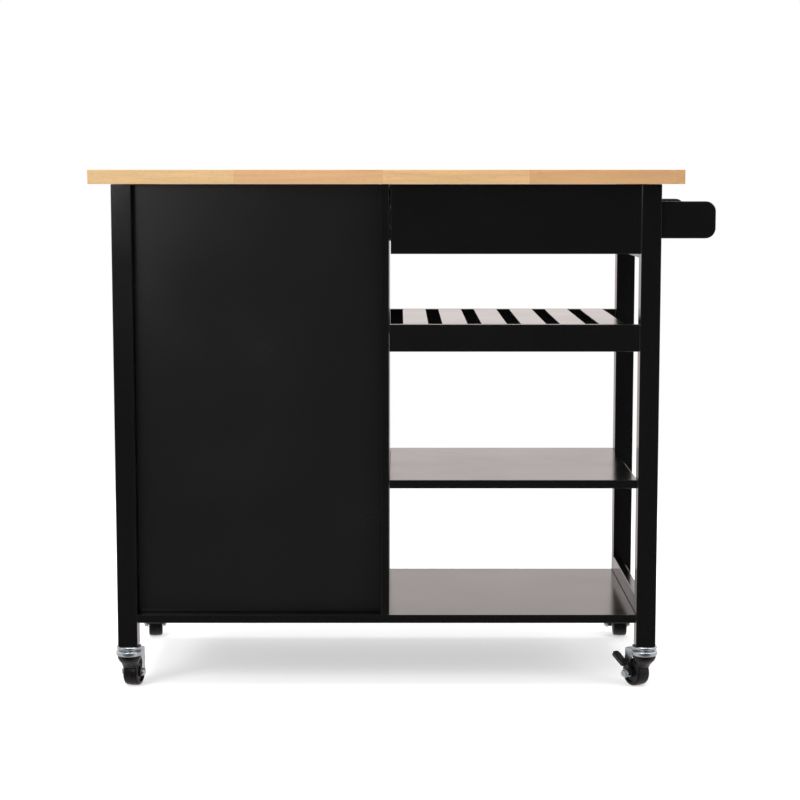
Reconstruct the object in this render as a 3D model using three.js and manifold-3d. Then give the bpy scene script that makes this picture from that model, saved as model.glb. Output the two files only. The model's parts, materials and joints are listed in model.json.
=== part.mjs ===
// A kitchen island cart: a wooden worktop on a black four-leg frame with casters.
// Left bay: a cupboard with a door. Right bay: a drawer, a slatted rack and two shelves.
// Millimetres, +Z up. The rear faces -Y, the door and the drawer open towards +Y.

import * as THREE from 'three';
import { RoundedBoxGeometry } from 'three/addons/geometries/RoundedBoxGeometry.js';
import { mergeVertices } from 'three/addons/utils/BufferGeometryUtils.js';
import Module from 'manifold-3d';

// Clearance kept between pieces that touch.
const GAP = 0.3;

// Overall sizes.
const CART_HEIGHT = 930;
const WORKTOP_LENGTH = 1040;
const WORKTOP_DEPTH = 450;
const WORKTOP_THICKNESS = 25;
const END_OVERHANG = 38;
const SIDE_OVERHANG = 15;

// Frame.
const LEG_SIZE = 35;
const BOARD = 15;
const EDGE_RADIUS = 1;
const DIVIDER_X = -10.5;
const LEG_BELOW_BOARD = 44;
const BACK_PANEL_THICKNESS = 6;
const BACK_PANEL_RECESS = 25;
const SIDE_RAIL_LIP = 31;
const SIDE_RAIL_TOP_HEIGHT = 130;

// Open bay.
const LOWER_BAY_HEIGHT = 229;
const UPPER_BAY_HEIGHT = 124;
const SLAT_RAIL_HEIGHT = 48;
const SLAT_COUNT = 6;
const SLAT_WIDTH = 45;
const SLAT_THICKNESS = 12;
const APRON_HEIGHT = 122;
const APRON_REVEAL = 3;

// Cupboard.
const INNER_SHELF_RISE = 367;
const INNER_SHELF_PLAY = 1.5;
const FRONT_THICKNESS = 18;
const FRONT_REVEAL = 3;
const DOOR_STILE = 55;
const DOOR_PANEL_THICKNESS = 6;
const DOOR_REBATE = 8;
const HINGE_LEAF = 0.8;
const HINGE_LENGTH = 50;
const HINGE_LEAF_DEPTH = 17;
const HINGE_BARREL_RADIUS = 3.5;
const HINGE_PIN_RADIUS = 1.5;
const HINGE_INSET = 90;
const BARREL_STAND_OFF = 0.5;

// Drawer.
const DRAWER_FRONT_HEIGHT = 109;
const DRAWER_BOX_HEIGHT = 80;
const DRAWER_BOX_LIFT = 9;
const DRAWER_BACK_CLEARANCE = 35;
const DRAWER_WALL = 12;
const DRAWER_BOTTOM = 5;
const DRAWER_GROOVE_LIFT = 8;
const DRAWER_GROOVE_DEPTH = 5;
const RUNNER_SPACE = 12.7;
const RUNNER_HEIGHT = 35;
const RUNNER_SHEET = 1.2;
const RUNNER_FLANGE = 9;
const RUNNER_PLAY = 1.1;

// Knobs.
const KNOB_RADIUS = 14;
const KNOB_LENGTH = 24;
const KNOB_HEAD_THICKNESS = 12;
const KNOB_NECK_RADIUS = 6;
const KNOB_FOOT_FLARE = 2;
const KNOB_EDGE_RADIUS = 3;
const KNOB_EDGE_DISTANCE = 28;
const KNOB_BELOW_DOOR_TOP = 342;

// Towel rail.
const BRACKET_REACH = 96;
const BRACKET_HEIGHT = 65;
const BRACKET_THICKNESS = 18;
const BRACKET_CORNER = 18;
const BRACKET_BELOW_WORKTOP = 30;
const BAR_RADIUS = 11;
const BAR_EDGE_DISTANCE = 30;
const BAR_SOCKET_DEPTH = 10;

// Casters. Each one's own axes: X along the axle, Y the way the wheel trails, Z up.
const WHEEL_RADIUS = 25;
const WHEEL_WIDTH = 27;
const WHEEL_BOSS_RADIUS = 8;
const WHEEL_RIM_RADIUS = 17;
const WHEEL_DISH = 3.5;
const WHEEL_SHOULDER = 4.5;
const WHEEL_CROWN = 0.6;
const WHEEL_CHAMFER = 1;
const WHEEL_HEADROOM = 11;
const TRAIL = 23.5;
const AXLE_RADIUS = 3;
const AXLE_HEAD_RADIUS = 6.5;
const AXLE_HEAD_LENGTH = 5;
const FORK_PLAY = 1.2;
const FORK_SHEET = 1.8;
const FORK_ARM_END = 7.5;
const FORK_ARM_FRONT = 9;
const FORK_ARM_BEHIND_AXLE = 10.5;
const FORK_ARM_FLARE = 2;
const FORK_ARM_WAIST = 2;
const FORK_ARM_WAIST_RISE = 17;
const FORK_ARM_KNEE_RISE = 23;
const FORK_ARM_BEND_RISE = 11;
const CROWN_RADIUS = 23;
const CROWN_DEPTH = 9;
const CROWN_SHEET = 3.5;
const PRESSED_EDGE = 1.5;
const FLANGE_RADIUS = 22.5;
const FLANGE_THICKNESS = 6;
const RACE_HEIGHT = 3;
const KINGPIN_RADIUS = 4;
const RIVET_RADIUS = 7;
const RIVET_THICKNESS = 3;
const STEM_RADIUS = 4;
const STEM_LENGTH = 35;
const LEVER_WIDTH = 8;
const LEVER_HUB_RADIUS = 7;
const LEVER_THICKNESS = 7;
const PEDAL_REACH = 34;
const PEDAL_RISE = 32;
const LEVER_KNEE_RISE = 19;

// How finely round pieces are cut, and how far a cutting tool passes through a face.
const ROUND_STEPS = 24;
const ROD_STEPS = 16;
const CURVE_STEPS = 6;
const CUT_THROUGH = 1;

// Each caster: where it stands, how far it is turned about Z in degrees, and whether it has a brake.
const CASTERS = [
  { place: 'rear_left', sideX: -1, sideY: -1, turn: -13, brake: false },
  { place: 'rear_right', sideX: 1, sideY: -1, turn: 31, brake: true },
  { place: 'front_left', sideX: -1, sideY: 1, turn: 8, brake: false },
  { place: 'front_right', sideX: 1, sideY: 1, turn: -2, brake: true },
];

// Places worked out from the sizes above.
const casterHeight = 2 * WHEEL_RADIUS + WHEEL_HEADROOM + CROWN_DEPTH + RACE_HEIGHT + FLANGE_THICKNESS;
const worktopLow = CART_HEIGHT - WORKTOP_THICKNESS;
const legOuterX = WORKTOP_LENGTH / 2 - END_OVERHANG;
const legInnerX = legOuterX - LEG_SIZE;
const faceY = WORKTOP_DEPTH / 2 - SIDE_OVERHANG;
const legInnerY = faceY - LEG_SIZE;
const dividerRight = DIVIDER_X + BOARD;
const bottomBoardLow = casterHeight + LEG_BELOW_BOARD;
const bottomBoardTop = bottomBoardLow + BOARD;
const underWorktop = worktopLow - GAP;
const apronLow = worktopLow - APRON_HEIGHT;
const slatTop = apronLow - UPPER_BAY_HEIGHT;
const backPanelY = -faceY + BACK_PANEL_RECESS;
const frontBackY = faceY - FRONT_THICKNESS;
const frontTop = worktopLow - FRONT_REVEAL;
const hingeGap = 2 * HINGE_LEAF + 3 * GAP;
const doorLeft = -legInnerX + hingeGap;
const doorRight = DIVIDER_X - hingeGap;
const doorLow = bottomBoardTop + FRONT_REVEAL;
const drawerFrontLow = frontTop - DRAWER_FRONT_HEIGHT;
const drawerBoxY = -faceY + BOARD + DRAWER_BACK_CLEARANCE;
const hingeX = -legInnerX + hingeGap / 2;
const hingeY = faceY + BARREL_STAND_OFF + HINGE_BARREL_RADIUS;
const bracketLow = worktopLow - BRACKET_BELOW_WORKTOP - BRACKET_HEIGHT;
const crownTop = casterHeight - FLANGE_THICKNESS - RACE_HEIGHT;
const armInner = WHEEL_WIDTH / 2 + FORK_PLAY;
const armOuter = armInner + FORK_SHEET;
const armBack = TRAIL + FORK_ARM_BEHIND_AXLE;

const paintedBoard = new THREE.MeshStandardMaterial({ color: 0x1c1c1c, roughness: 0.4, metalness: 0 });
const oiledWood = new THREE.MeshStandardMaterial({ color: 0xd9ae74, roughness: 0.45, metalness: 0 });
const drawerWood = new THREE.MeshStandardMaterial({ color: 0xd8c29a, roughness: 0.6, metalness: 0 });
const platedSteel = new THREE.MeshStandardMaterial({ color: 0xc4c6c8, roughness: 0.3, metalness: 1 });
const satinNickel = new THREE.MeshStandardMaterial({ color: 0xb8b4ab, roughness: 0.35, metalness: 1 });
const wheelPlastic = new THREE.MeshStandardMaterial({ color: 0x161616, roughness: 0.5, metalness: 0 });
const leverPlastic = new THREE.MeshStandardMaterial({ color: 0x1a1b1c, roughness: 0.45, metalness: 0 });

const wasm = await Module();
wasm.setup();

function toSolid(geometry) {
  const bare = geometry.clone();
  bare.deleteAttribute('normal');
  bare.deleteAttribute('uv');
  const merged = mergeVertices(bare);
  const vertProperties = new Float32Array(merged.attributes.position.array);
  const triVerts = new Uint32Array(merged.index.array);
  return new wasm.Manifold(new wasm.Mesh({ numProp: 3, vertProperties, triVerts }));
}

function toGeometry(solid) {
  const mesh = solid.getMesh();
  const geometry = new THREE.BufferGeometry();
  geometry.setAttribute('position', new THREE.BufferAttribute(mesh.vertProperties, 3));
  geometry.setIndex(new THREE.BufferAttribute(mesh.triVerts, 1));
  geometry.computeVertexNormals();
  return geometry;
}

function join(...geometries) {
  return toGeometry(geometries.map(toSolid).reduce((whole, piece) => whole.add(piece)));
}

function cut(geometry, ...tools) {
  return toGeometry(tools.map(toSolid).reduce((whole, tool) => whole.subtract(tool), toSolid(geometry)));
}

function named(name, geometry, material) {
  const mesh = new THREE.Mesh(geometry, material);
  mesh.name = name;
  return mesh;
}

// A sharp box between two corners.
function block(low, high) {
  const geometry = new THREE.BoxGeometry(high[0] - low[0], high[1] - low[1], high[2] - low[2]);
  geometry.translate((high[0] + low[0]) / 2, (high[1] + low[1]) / 2, (high[2] + low[2]) / 2);
  return geometry;
}

// A board with eased edges between two corners.
function easedBlock(low, high) {
  const size = high.map((value, axis) => value - low[axis]);
  const geometry = new RoundedBoxGeometry(size[0], size[1], size[2], 1, EDGE_RADIUS);
  geometry.translate((high[0] + low[0]) / 2, (high[1] + low[1]) / 2, (high[2] + low[2]) / 2);
  return geometry;
}

function board(name, material, low, high) {
  return named(name, easedBlock(low, high), material);
}

// A profile of [radius, height] pairs turned about Z.
function turned(profile, steps = ROUND_STEPS) {
  const points = profile.map(([radius, height]) => new THREE.Vector2(radius, height));
  return new THREE.LatheGeometry(points, steps).rotateX(Math.PI / 2);
}

// A profile of [radius, x] pairs turned about X.
function turnedAboutX(profile, steps = ROUND_STEPS) {
  return turned(profile, steps).rotateY(Math.PI / 2);
}

// A solid cylinder along Z between two heights.
function rod(radius, low, high, steps = ROD_STEPS) {
  return turned([[0, low], [radius, low], [radius, high], [0, high]], steps);
}

// An outline made solid along its own third axis.
function extruded(shape, depth) {
  return new THREE.ExtrudeGeometry(shape, { depth, bevelEnabled: false, curveSegments: CURVE_STEPS });
}

// An outline drawn in Y and Z, made solid from x = low to x = high.
function extrudedAlongX(shape, low, high) {
  const turn = new THREE.Matrix4().makeBasis(
    new THREE.Vector3(0, 1, 0),
    new THREE.Vector3(0, 0, 1),
    new THREE.Vector3(1, 0, 0),
  );
  return extruded(shape, high - low).applyMatrix4(turn).translate(low, 0, 0);
}

// An outline drawn in X and Z, made solid from y = low to y = high.
function extrudedAlongY(shape, low, high) {
  return extruded(shape, high - low).rotateX(Math.PI / 2).translate(0, high, 0);
}

function worktop() {
  const x = WORKTOP_LENGTH / 2;
  const y = WORKTOP_DEPTH / 2;
  return board('worktop', oiledWood, [-x, -y, worktopLow], [x, y, CART_HEIGHT]);
}

// A leg reaches from its caster to the worktop, and its foot is bored for the caster's stem.
function leg({ place, sideX, sideY }) {
  const x = sideX * (legOuterX - LEG_SIZE / 2);
  const y = sideY * (faceY - LEG_SIZE / 2);
  const half = LEG_SIZE / 2;
  const post = easedBlock([-half, -half, casterHeight], [half, half, underWorktop]);
  const boreTop = casterHeight + STEM_LENGTH + GAP;
  const bore = rod(STEM_RADIUS + GAP, casterHeight - CUT_THROUGH, boreTop);
  const mesh = named(`leg_${place}`, cut(post, bore), paintedBoard);
  mesh.position.set(x, y, 0);
  return mesh;
}

function bottomBoard() {
  const x = legInnerX - GAP;
  return board('bottom_board', paintedBoard, [-x, -faceY, bottomBoardLow], [x, faceY, bottomBoardTop]);
}

function dividerPanel() {
  return board(
    'divider_panel',
    paintedBoard,
    [DIVIDER_X, -faceY, bottomBoardTop + GAP],
    [dividerRight, faceY, underWorktop],
  );
}

function backPanel() {
  return board(
    'back_panel',
    paintedBoard,
    [-legInnerX + GAP, backPanelY, bottomBoardTop + GAP],
    [DIVIDER_X - GAP, backPanelY + BACK_PANEL_THICKNESS, underWorktop],
  );
}

// Boards between a front and a rear leg, flush with the legs' inner faces.
function endBoard(name, side, low, high) {
  const inner = side * legInnerX;
  const outer = side * (legInnerX + BOARD);
  const y = legInnerY - GAP;
  return board(name, paintedBoard, [Math.min(inner, outer), -y, low], [Math.max(inner, outer), y, high]);
}

function endBoards() {
  return [
    endBoard('side_panel_left', -1, bottomBoardLow, underWorktop),
    endBoard('side_rail_top_right', 1, worktopLow - SIDE_RAIL_TOP_HEIGHT, underWorktop),
    endBoard('side_rail_bottom_right', 1, bottomBoardLow, bottomBoardTop + SIDE_RAIL_LIP),
  ];
}

// A board across the open bay, from the divider to the right legs.
function bayBoard(name, lowY, highY, lowZ, highZ, reveal = GAP) {
  const low = [dividerRight + reveal, lowY, lowZ];
  const high = [legInnerX - GAP, highY, highZ];
  return board(name, paintedBoard, low, high);
}

function bayBoards() {
  const shelfLow = bottomBoardTop + LOWER_BAY_HEIGHT;
  const railLow = slatTop - SLAT_RAIL_HEIGHT;
  return [
    bayBoard('mid_shelf', -faceY, faceY, shelfLow, shelfLow + BOARD),
    bayBoard('slat_rail_rear', -faceY, -faceY + BOARD, railLow, slatTop),
    bayBoard('slat_rail_front', faceY - BOARD, faceY, railLow, slatTop),
    bayBoard('apron_rear', -faceY, -faceY + BOARD, apronLow, underWorktop, APRON_REVEAL),
  ];
}

// Slats run front to back between the two rails, with equal spaces beside them.
function slats() {
  const y = faceY - BOARD - GAP;
  const clearWidth = legInnerX - dividerRight;
  const space = (clearWidth - SLAT_COUNT * SLAT_WIDTH) / (SLAT_COUNT + 1);
  const pieces = [];
  for (let i = 0; i < SLAT_COUNT; i += 1) {
    const x = dividerRight + space + i * (SLAT_WIDTH + space);
    const low = [x, -y, slatTop - SLAT_THICKNESS];
    pieces.push(board(`slat_${i + 1}`, paintedBoard, low, [x + SLAT_WIDTH, y, slatTop]));
  }
  return pieces;
}

// A bracket is a board with two rounded outer corners and a blind socket for the bar.
function towelBracket(name, side) {
  const inner = legOuterX + GAP;
  const outer = legOuterX + BRACKET_REACH;
  const high = bracketLow + BRACKET_HEIGHT;
  const shape = new THREE.Shape();
  shape.moveTo(inner, bracketLow);
  shape.lineTo(outer - BRACKET_CORNER, bracketLow);
  shape.absarc(outer - BRACKET_CORNER, bracketLow + BRACKET_CORNER, BRACKET_CORNER, -Math.PI / 2, 0);
  shape.absarc(outer - BRACKET_CORNER, high - BRACKET_CORNER, BRACKET_CORNER, 0, Math.PI / 2);
  shape.lineTo(inner, high);
  const middle = side * (faceY - LEG_SIZE / 2);
  const plate = extrudedAlongY(shape, middle - BRACKET_THICKNESS / 2, middle + BRACKET_THICKNESS / 2);
  const mouth = faceY - LEG_SIZE / 2 - BRACKET_THICKNESS / 2;
  const depth = BAR_SOCKET_DEPTH + GAP;
  const socket = towelRod(BAR_RADIUS + GAP, -(mouth + depth), mouth + depth);
  return named(name, cut(plate, socket), paintedBoard);
}

// A rod along Y on the towel bar's centre line.
function towelRod(radius, lowY, highY) {
  const x = legOuterX + BRACKET_REACH - BAR_EDGE_DISTANCE;
  const z = bracketLow + BRACKET_HEIGHT / 2;
  return rod(radius, -highY, -lowY, ROUND_STEPS).rotateX(Math.PI / 2).translate(x, 0, z);
}

function towelRail() {
  const end = faceY - LEG_SIZE / 2 - BRACKET_THICKNESS / 2 + BAR_SOCKET_DEPTH;
  return [
    towelBracket('towel_bracket_rear', -1),
    towelBracket('towel_bracket_front', 1),
    named('towel_bar', towelRod(BAR_RADIUS, -end, end), paintedBoard),
  ];
}

function innerShelf() {
  const play = INNER_SHELF_PLAY;
  const low = bottomBoardTop + INNER_SHELF_RISE;
  return board(
    'inner_shelf',
    paintedBoard,
    [-legInnerX + play, backPanelY + BACK_PANEL_THICKNESS + play, low],
    [DIVIDER_X - play, frontBackY - play, low + BOARD],
  );
}

// The door is a frame with a flat panel let into a rebate from behind.
function door() {
  const windowLow = [doorLeft + DOOR_STILE, frontBackY - CUT_THROUGH, doorLow + DOOR_STILE];
  const windowHigh = [doorRight - DOOR_STILE, faceY + CUT_THROUGH, frontTop - DOOR_STILE];
  const rebateLow = [windowLow[0] - DOOR_REBATE, frontBackY - CUT_THROUGH, windowLow[2] - DOOR_REBATE];
  const rebateHigh = [
    windowHigh[0] + DOOR_REBATE,
    frontBackY + DOOR_PANEL_THICKNESS + GAP,
    windowHigh[2] + DOOR_REBATE,
  ];
  const slab = easedBlock([doorLeft, frontBackY, doorLow], [doorRight, faceY, frontTop]);
  const frame = cut(slab, block(windowLow, windowHigh), block(rebateLow, rebateHigh));
  const panelLow = [rebateLow[0] + GAP, frontBackY, rebateLow[2] + GAP];
  const panelHigh = [rebateHigh[0] - GAP, frontBackY + DOOR_PANEL_THICKNESS, rebateHigh[2] - GAP];
  return [
    named('door_frame', frame, paintedBoard),
    named('door_panel', block(panelLow, panelHigh), paintedBoard),
    knob('door_knob', doorRight - KNOB_EDGE_DISTANCE, frontTop - KNOB_BELOW_DOOR_TOP),
  ];
}

// A turned knob that stands out of a front towards +Y.
function knob(name, x, z) {
  const headStart = KNOB_LENGTH - KNOB_HEAD_THICKNESS;
  const profile = [
    [0, 0],
    [KNOB_NECK_RADIUS + KNOB_FOOT_FLARE, 0],
    [KNOB_NECK_RADIUS, KNOB_FOOT_FLARE],
    [KNOB_NECK_RADIUS, headStart],
    [KNOB_RADIUS, headStart + KNOB_EDGE_RADIUS],
    [KNOB_RADIUS, KNOB_LENGTH - KNOB_EDGE_RADIUS],
    [KNOB_RADIUS - KNOB_EDGE_RADIUS, KNOB_LENGTH],
    [0, KNOB_LENGTH],
  ];
  const geometry = turned(profile).rotateX(-Math.PI / 2);
  const mesh = named(name, geometry, satinNickel);
  mesh.position.set(x, faceY + GAP, z);
  return mesh;
}

// A butt hinge: the frame leaf carries the two outer knuckles, the door leaf the middle one and the pin.
function hinge(name, lowZ) {
  const third = HINGE_LENGTH / 3;
  const frameX = -legInnerX + GAP;
  const doorX = doorLeft - GAP - HINGE_LEAF;
  const leafY = faceY - HINGE_LEAF_DEPTH;
  const knuckle = (low, high) => rod(HINGE_BARREL_RADIUS, low, high).translate(hingeX, hingeY, 0);
  const leaf = (x, low, high, endY) => block([x, leafY, low], [x + HINGE_LEAF, endY, high]);
  const lowRing = [lowZ, lowZ + third - GAP];
  const midRing = [lowZ + third, lowZ + 2 * third];
  const topRing = [lowZ + 2 * third + GAP, lowZ + HINGE_LENGTH];
  const boreLow = lowZ - CUT_THROUGH;
  const boreHigh = lowZ + HINGE_LENGTH + CUT_THROUGH;
  const bore = rod(HINGE_PIN_RADIUS + GAP, boreLow, boreHigh).translate(hingeX, hingeY, 0);
  const frameLeaf = join(
    leaf(frameX, lowZ, lowZ + HINGE_LENGTH, faceY),
    leaf(frameX, ...lowRing, hingeY),
    leaf(frameX, ...topRing, hingeY),
    knuckle(...lowRing),
    knuckle(...topRing),
  );
  const pin = rod(HINGE_PIN_RADIUS, lowZ, lowZ + HINGE_LENGTH).translate(hingeX, hingeY, 0);
  const doorLeaf = join(
    leaf(doorX, lowZ, lowZ + HINGE_LENGTH, faceY),
    leaf(doorX, ...midRing, hingeY),
    knuckle(...midRing),
    pin,
  );
  return [
    named(`${name}_frame_leaf`, cut(frameLeaf, bore), satinNickel),
    named(`${name}_door_leaf`, doorLeaf, satinNickel),
  ];
}

function hinges() {
  const top = frontTop - HINGE_INSET - HINGE_LENGTH;
  return [...hinge('hinge_bottom', doorLow + HINGE_INSET), ...hinge('hinge_top', top)];
}

// A C-shaped runner member along Y. It opens towards the side given by the sign of flange.
function channel(x, middleZ, height, flange, lowY, highY) {
  const half = height / 2;
  const sheet = Math.sign(flange) * RUNNER_SHEET;
  const shape = new THREE.Shape();
  shape.moveTo(x, middleZ - half);
  shape.lineTo(x + flange, middleZ - half);
  shape.lineTo(x + flange, middleZ - half + RUNNER_SHEET);
  shape.lineTo(x + sheet, middleZ - half + RUNNER_SHEET);
  shape.lineTo(x + sheet, middleZ + half - RUNNER_SHEET);
  shape.lineTo(x + flange, middleZ + half - RUNNER_SHEET);
  shape.lineTo(x + flange, middleZ + half);
  shape.lineTo(x, middleZ + half);
  return extrudedAlongY(shape, lowY, highY);
}

function drawer() {
  const boxY = drawerBoxY;
  const boxLow = drawerFrontLow + DRAWER_BOX_LIFT;
  const boxHigh = boxLow + DRAWER_BOX_HEIGHT;
  const left = dividerRight + RUNNER_SPACE;
  const right = legInnerX - RUNNER_SPACE;
  const insideLeft = left + DRAWER_WALL;
  const insideRight = right - DRAWER_WALL;
  const boxFront = frontBackY - GAP;
  const bottomLow = boxLow + DRAWER_GROOVE_LIFT;
  const bottomHigh = bottomLow + DRAWER_BOTTOM;
  const grooveLeft = insideLeft - DRAWER_GROOVE_DEPTH;
  const grooveRight = insideRight + DRAWER_GROOVE_DEPTH;
  const groove = block(
    [grooveLeft, boxY - CUT_THROUGH, bottomLow - GAP],
    [grooveRight, frontBackY, bottomHigh + GAP],
  );
  const sideLeft = easedBlock([left, boxY, boxLow], [insideLeft, boxFront, boxHigh]);
  const sideRight = easedBlock([insideRight, boxY, boxLow], [right, boxFront, boxHigh]);
  const runnerZ = boxLow + DRAWER_BOX_HEIGHT / 2;
  const innerHeight = RUNNER_HEIGHT - 2 * RUNNER_SHEET - 2 * RUNNER_PLAY;
  return [
    board(
      'drawer_front',
      paintedBoard,
      [dividerRight + hingeGap, frontBackY, drawerFrontLow],
      [legInnerX - hingeGap, faceY, frontTop],
    ),
    named('drawer_side_left', cut(sideLeft, groove), drawerWood),
    named('drawer_side_right', cut(sideRight, groove), drawerWood),
    board(
      'drawer_back',
      drawerWood,
      [insideLeft + GAP, boxY, bottomHigh + 2 * GAP],
      [insideRight - GAP, boxY + DRAWER_WALL, boxHigh],
    ),
    named(
      'drawer_bottom',
      block([grooveLeft + GAP, boxY, bottomLow], [grooveRight - GAP, boxFront, bottomHigh]),
      drawerWood,
    ),
    knob('drawer_knob', (dividerRight + legInnerX) / 2, (drawerFrontLow + frontTop) / 2),
    named(
      'runner_left_fixed',
      channel(dividerRight + GAP, runnerZ, RUNNER_HEIGHT, RUNNER_FLANGE, boxY, boxFront),
      platedSteel,
    ),
    named(
      'runner_right_fixed',
      channel(legInnerX - GAP, runnerZ, RUNNER_HEIGHT, -RUNNER_FLANGE, boxY, boxFront),
      platedSteel,
    ),
    named(
      'runner_left_moving',
      channel(left - GAP, runnerZ, innerHeight, -RUNNER_FLANGE, boxY, boxFront),
      platedSteel,
    ),
    named(
      'runner_right_moving',
      channel(right + GAP, runnerZ, innerHeight, RUNNER_FLANGE, boxY, boxFront),
      platedSteel,
    ),
  ];
}

// The fixed half of a caster: a stem in the leg, a flange under it and the riveted kingpin.
function casterMount(place) {
  const flangeTop = casterHeight - GAP;
  const flangeLow = casterHeight - FLANGE_THICKNESS;
  const rivetTop = crownTop - CROWN_SHEET - GAP;
  const profile = [
    [0, rivetTop - RIVET_THICKNESS],
    [RIVET_RADIUS - PRESSED_EDGE, rivetTop - RIVET_THICKNESS],
    [RIVET_RADIUS, rivetTop - PRESSED_EDGE],
    [RIVET_RADIUS, rivetTop],
    [KINGPIN_RADIUS, rivetTop],
    [KINGPIN_RADIUS, flangeLow],
    [FLANGE_RADIUS - PRESSED_EDGE, flangeLow],
    [FLANGE_RADIUS, flangeLow + PRESSED_EDGE],
    [FLANGE_RADIUS, flangeTop - PRESSED_EDGE],
    [FLANGE_RADIUS - PRESSED_EDGE, flangeTop],
    [STEM_RADIUS, flangeTop],
    [STEM_RADIUS, casterHeight + STEM_LENGTH],
    [0, casterHeight + STEM_LENGTH],
  ];
  return named(`caster_mount_${place}`, turned(profile), platedSteel);
}

// The round pressed crown of a fork: a shallow dish turned upside down.
function crownDish() {
  const inner = CROWN_RADIUS - FORK_SHEET;
  const underPlate = crownTop - CROWN_SHEET;
  const hole = KINGPIN_RADIUS + GAP;
  return turned([
    [hole, underPlate],
    [inner, underPlate],
    [inner, crownTop - CROWN_DEPTH],
    [CROWN_RADIUS, crownTop - CROWN_DEPTH],
    [CROWN_RADIUS, crownTop - PRESSED_EDGE],
    [CROWN_RADIUS - PRESSED_EDGE, crownTop],
    [hole, crownTop],
    [hole, underPlate],
  ]);
}

// One side of a fork: broad under the crown, narrow at its waist, round about the axle.
function forkArm(low, high) {
  const shape = new THREE.Shape();
  const front = TRAIL - FORK_ARM_END;
  const waist = TRAIL - FORK_ARM_WAIST;
  const widest = armBack + FORK_ARM_FLARE;
  shape.moveTo(FORK_ARM_FRONT, crownTop);
  shape.lineTo(FORK_ARM_FRONT, crownTop - CROWN_DEPTH);
  shape.quadraticCurveTo(waist, 2 * WHEEL_RADIUS, waist, WHEEL_RADIUS + FORK_ARM_WAIST_RISE);
  shape.quadraticCurveTo(waist, WHEEL_RADIUS + FORK_ARM_WAIST_RISE / 2, front, WHEEL_RADIUS);
  shape.absarc(TRAIL, WHEEL_RADIUS, FORK_ARM_END, Math.PI, 2 * Math.PI);
  shape.quadraticCurveTo(
    widest,
    WHEEL_RADIUS + FORK_ARM_BEND_RISE,
    widest,
    WHEEL_RADIUS + FORK_ARM_KNEE_RISE,
  );
  shape.lineTo(armBack, crownTop);
  return extrudedAlongX(shape, low, high);
}

function fork(place) {
  const bridge = block(
    [-armOuter, FORK_ARM_FRONT, crownTop - CROWN_SHEET],
    [armOuter, armBack, crownTop],
  );
  const arms = [forkArm(-armOuter, -armInner), forkArm(armInner, armOuter)];
  const axleHole = axleRod(AXLE_RADIUS + GAP, -armOuter - CUT_THROUGH, armOuter + CUT_THROUGH);
  axleHole.translate(0, TRAIL, WHEEL_RADIUS);
  const solid = cut(join(crownDish(), bridge, ...arms), axleHole);
  return named(`caster_fork_${place}`, solid, platedSteel);
}

// A solid cylinder along X between two places.
function axleRod(radius, lowX, highX) {
  return turnedAboutX([[0, lowX], [radius, lowX], [radius, highX], [0, highX]], ROD_STEPS);
}

// A round-headed bolt through the fork, longer where it also carries the brake lever.
function axle(place, brake) {
  const right = armOuter + GAP;
  const left = -right - (brake ? LEVER_WIDTH + GAP : 0);
  const farLeft = left - AXLE_HEAD_LENGTH;
  const farRight = right + AXLE_HEAD_LENGTH;
  const profile = [
    [0, farLeft],
    [AXLE_HEAD_RADIUS - PRESSED_EDGE, farLeft],
    [AXLE_HEAD_RADIUS, farLeft + PRESSED_EDGE],
    [AXLE_HEAD_RADIUS, left],
    [AXLE_RADIUS, left],
    [AXLE_RADIUS, right],
    [AXLE_HEAD_RADIUS, right],
    [AXLE_HEAD_RADIUS, farRight - PRESSED_EDGE],
    [AXLE_HEAD_RADIUS - PRESSED_EDGE, farRight],
    [0, farRight],
  ];
  const mesh = named(`caster_axle_${place}`, turnedAboutX(profile, ROD_STEPS), platedSteel);
  mesh.position.set(0, TRAIL, WHEEL_RADIUS);
  return mesh;
}

// A one-piece wheel with a dished face on both sides and a bore for the axle.
function wheel(place) {
  const bore = AXLE_RADIUS + GAP;
  const half = WHEEL_WIDTH / 2;
  const web = half - WHEEL_DISH;
  const tread = WHEEL_RADIUS - WHEEL_CROWN;
  const halfProfile = [
    [bore, half],
    [WHEEL_BOSS_RADIUS, half],
    [WHEEL_BOSS_RADIUS + WHEEL_CHAMFER, web],
    [WHEEL_RIM_RADIUS, web],
    [WHEEL_RIM_RADIUS + WHEEL_CHAMFER, half],
    [tread - WHEEL_SHOULDER, half],
    [tread, half - WHEEL_SHOULDER],
  ];
  const mirrored = halfProfile.map(([r, x]) => [r, -x]);
  const crown = [[WHEEL_RADIUS, 0]];
  const profile = [...mirrored, ...crown, ...halfProfile.reverse(), mirrored[0]];
  const mesh = named(`wheel_${place}`, turnedAboutX(profile), wheelPlastic);
  mesh.position.set(0, TRAIL, WHEEL_RADIUS);
  return mesh;
}

// The brake lever turns on the axle outside the fork: a hub, a riser and a sloping pedal.
function brakeLever(place) {
  const shape = new THREE.Shape();
  const hub = LEVER_HUB_RADIUS;
  const half = LEVER_THICKNESS / 2;
  shape.absarc(0, 0, hub, Math.PI, 2 * Math.PI);
  shape.quadraticCurveTo(hub, LEVER_KNEE_RISE - half, hub + half, LEVER_KNEE_RISE - half);
  shape.lineTo(PEDAL_REACH, PEDAL_RISE - half);
  shape.absarc(PEDAL_REACH, PEDAL_RISE, half, -Math.PI / 2, Math.PI / 2);
  shape.lineTo(hub, LEVER_KNEE_RISE + half);
  shape.quadraticCurveTo(-hub, LEVER_KNEE_RISE, -hub, 0);
  const high = -armOuter - GAP;
  const low = high - LEVER_WIDTH;
  const solid = extrudedAlongX(shape, low, high);
  const bore = axleRod(AXLE_RADIUS + GAP, low - CUT_THROUGH, high + CUT_THROUGH);
  const mesh = named(`brake_lever_${place}`, cut(solid, bore), leverPlastic);
  mesh.position.set(0, TRAIL, WHEEL_RADIUS);
  return mesh;
}

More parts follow.
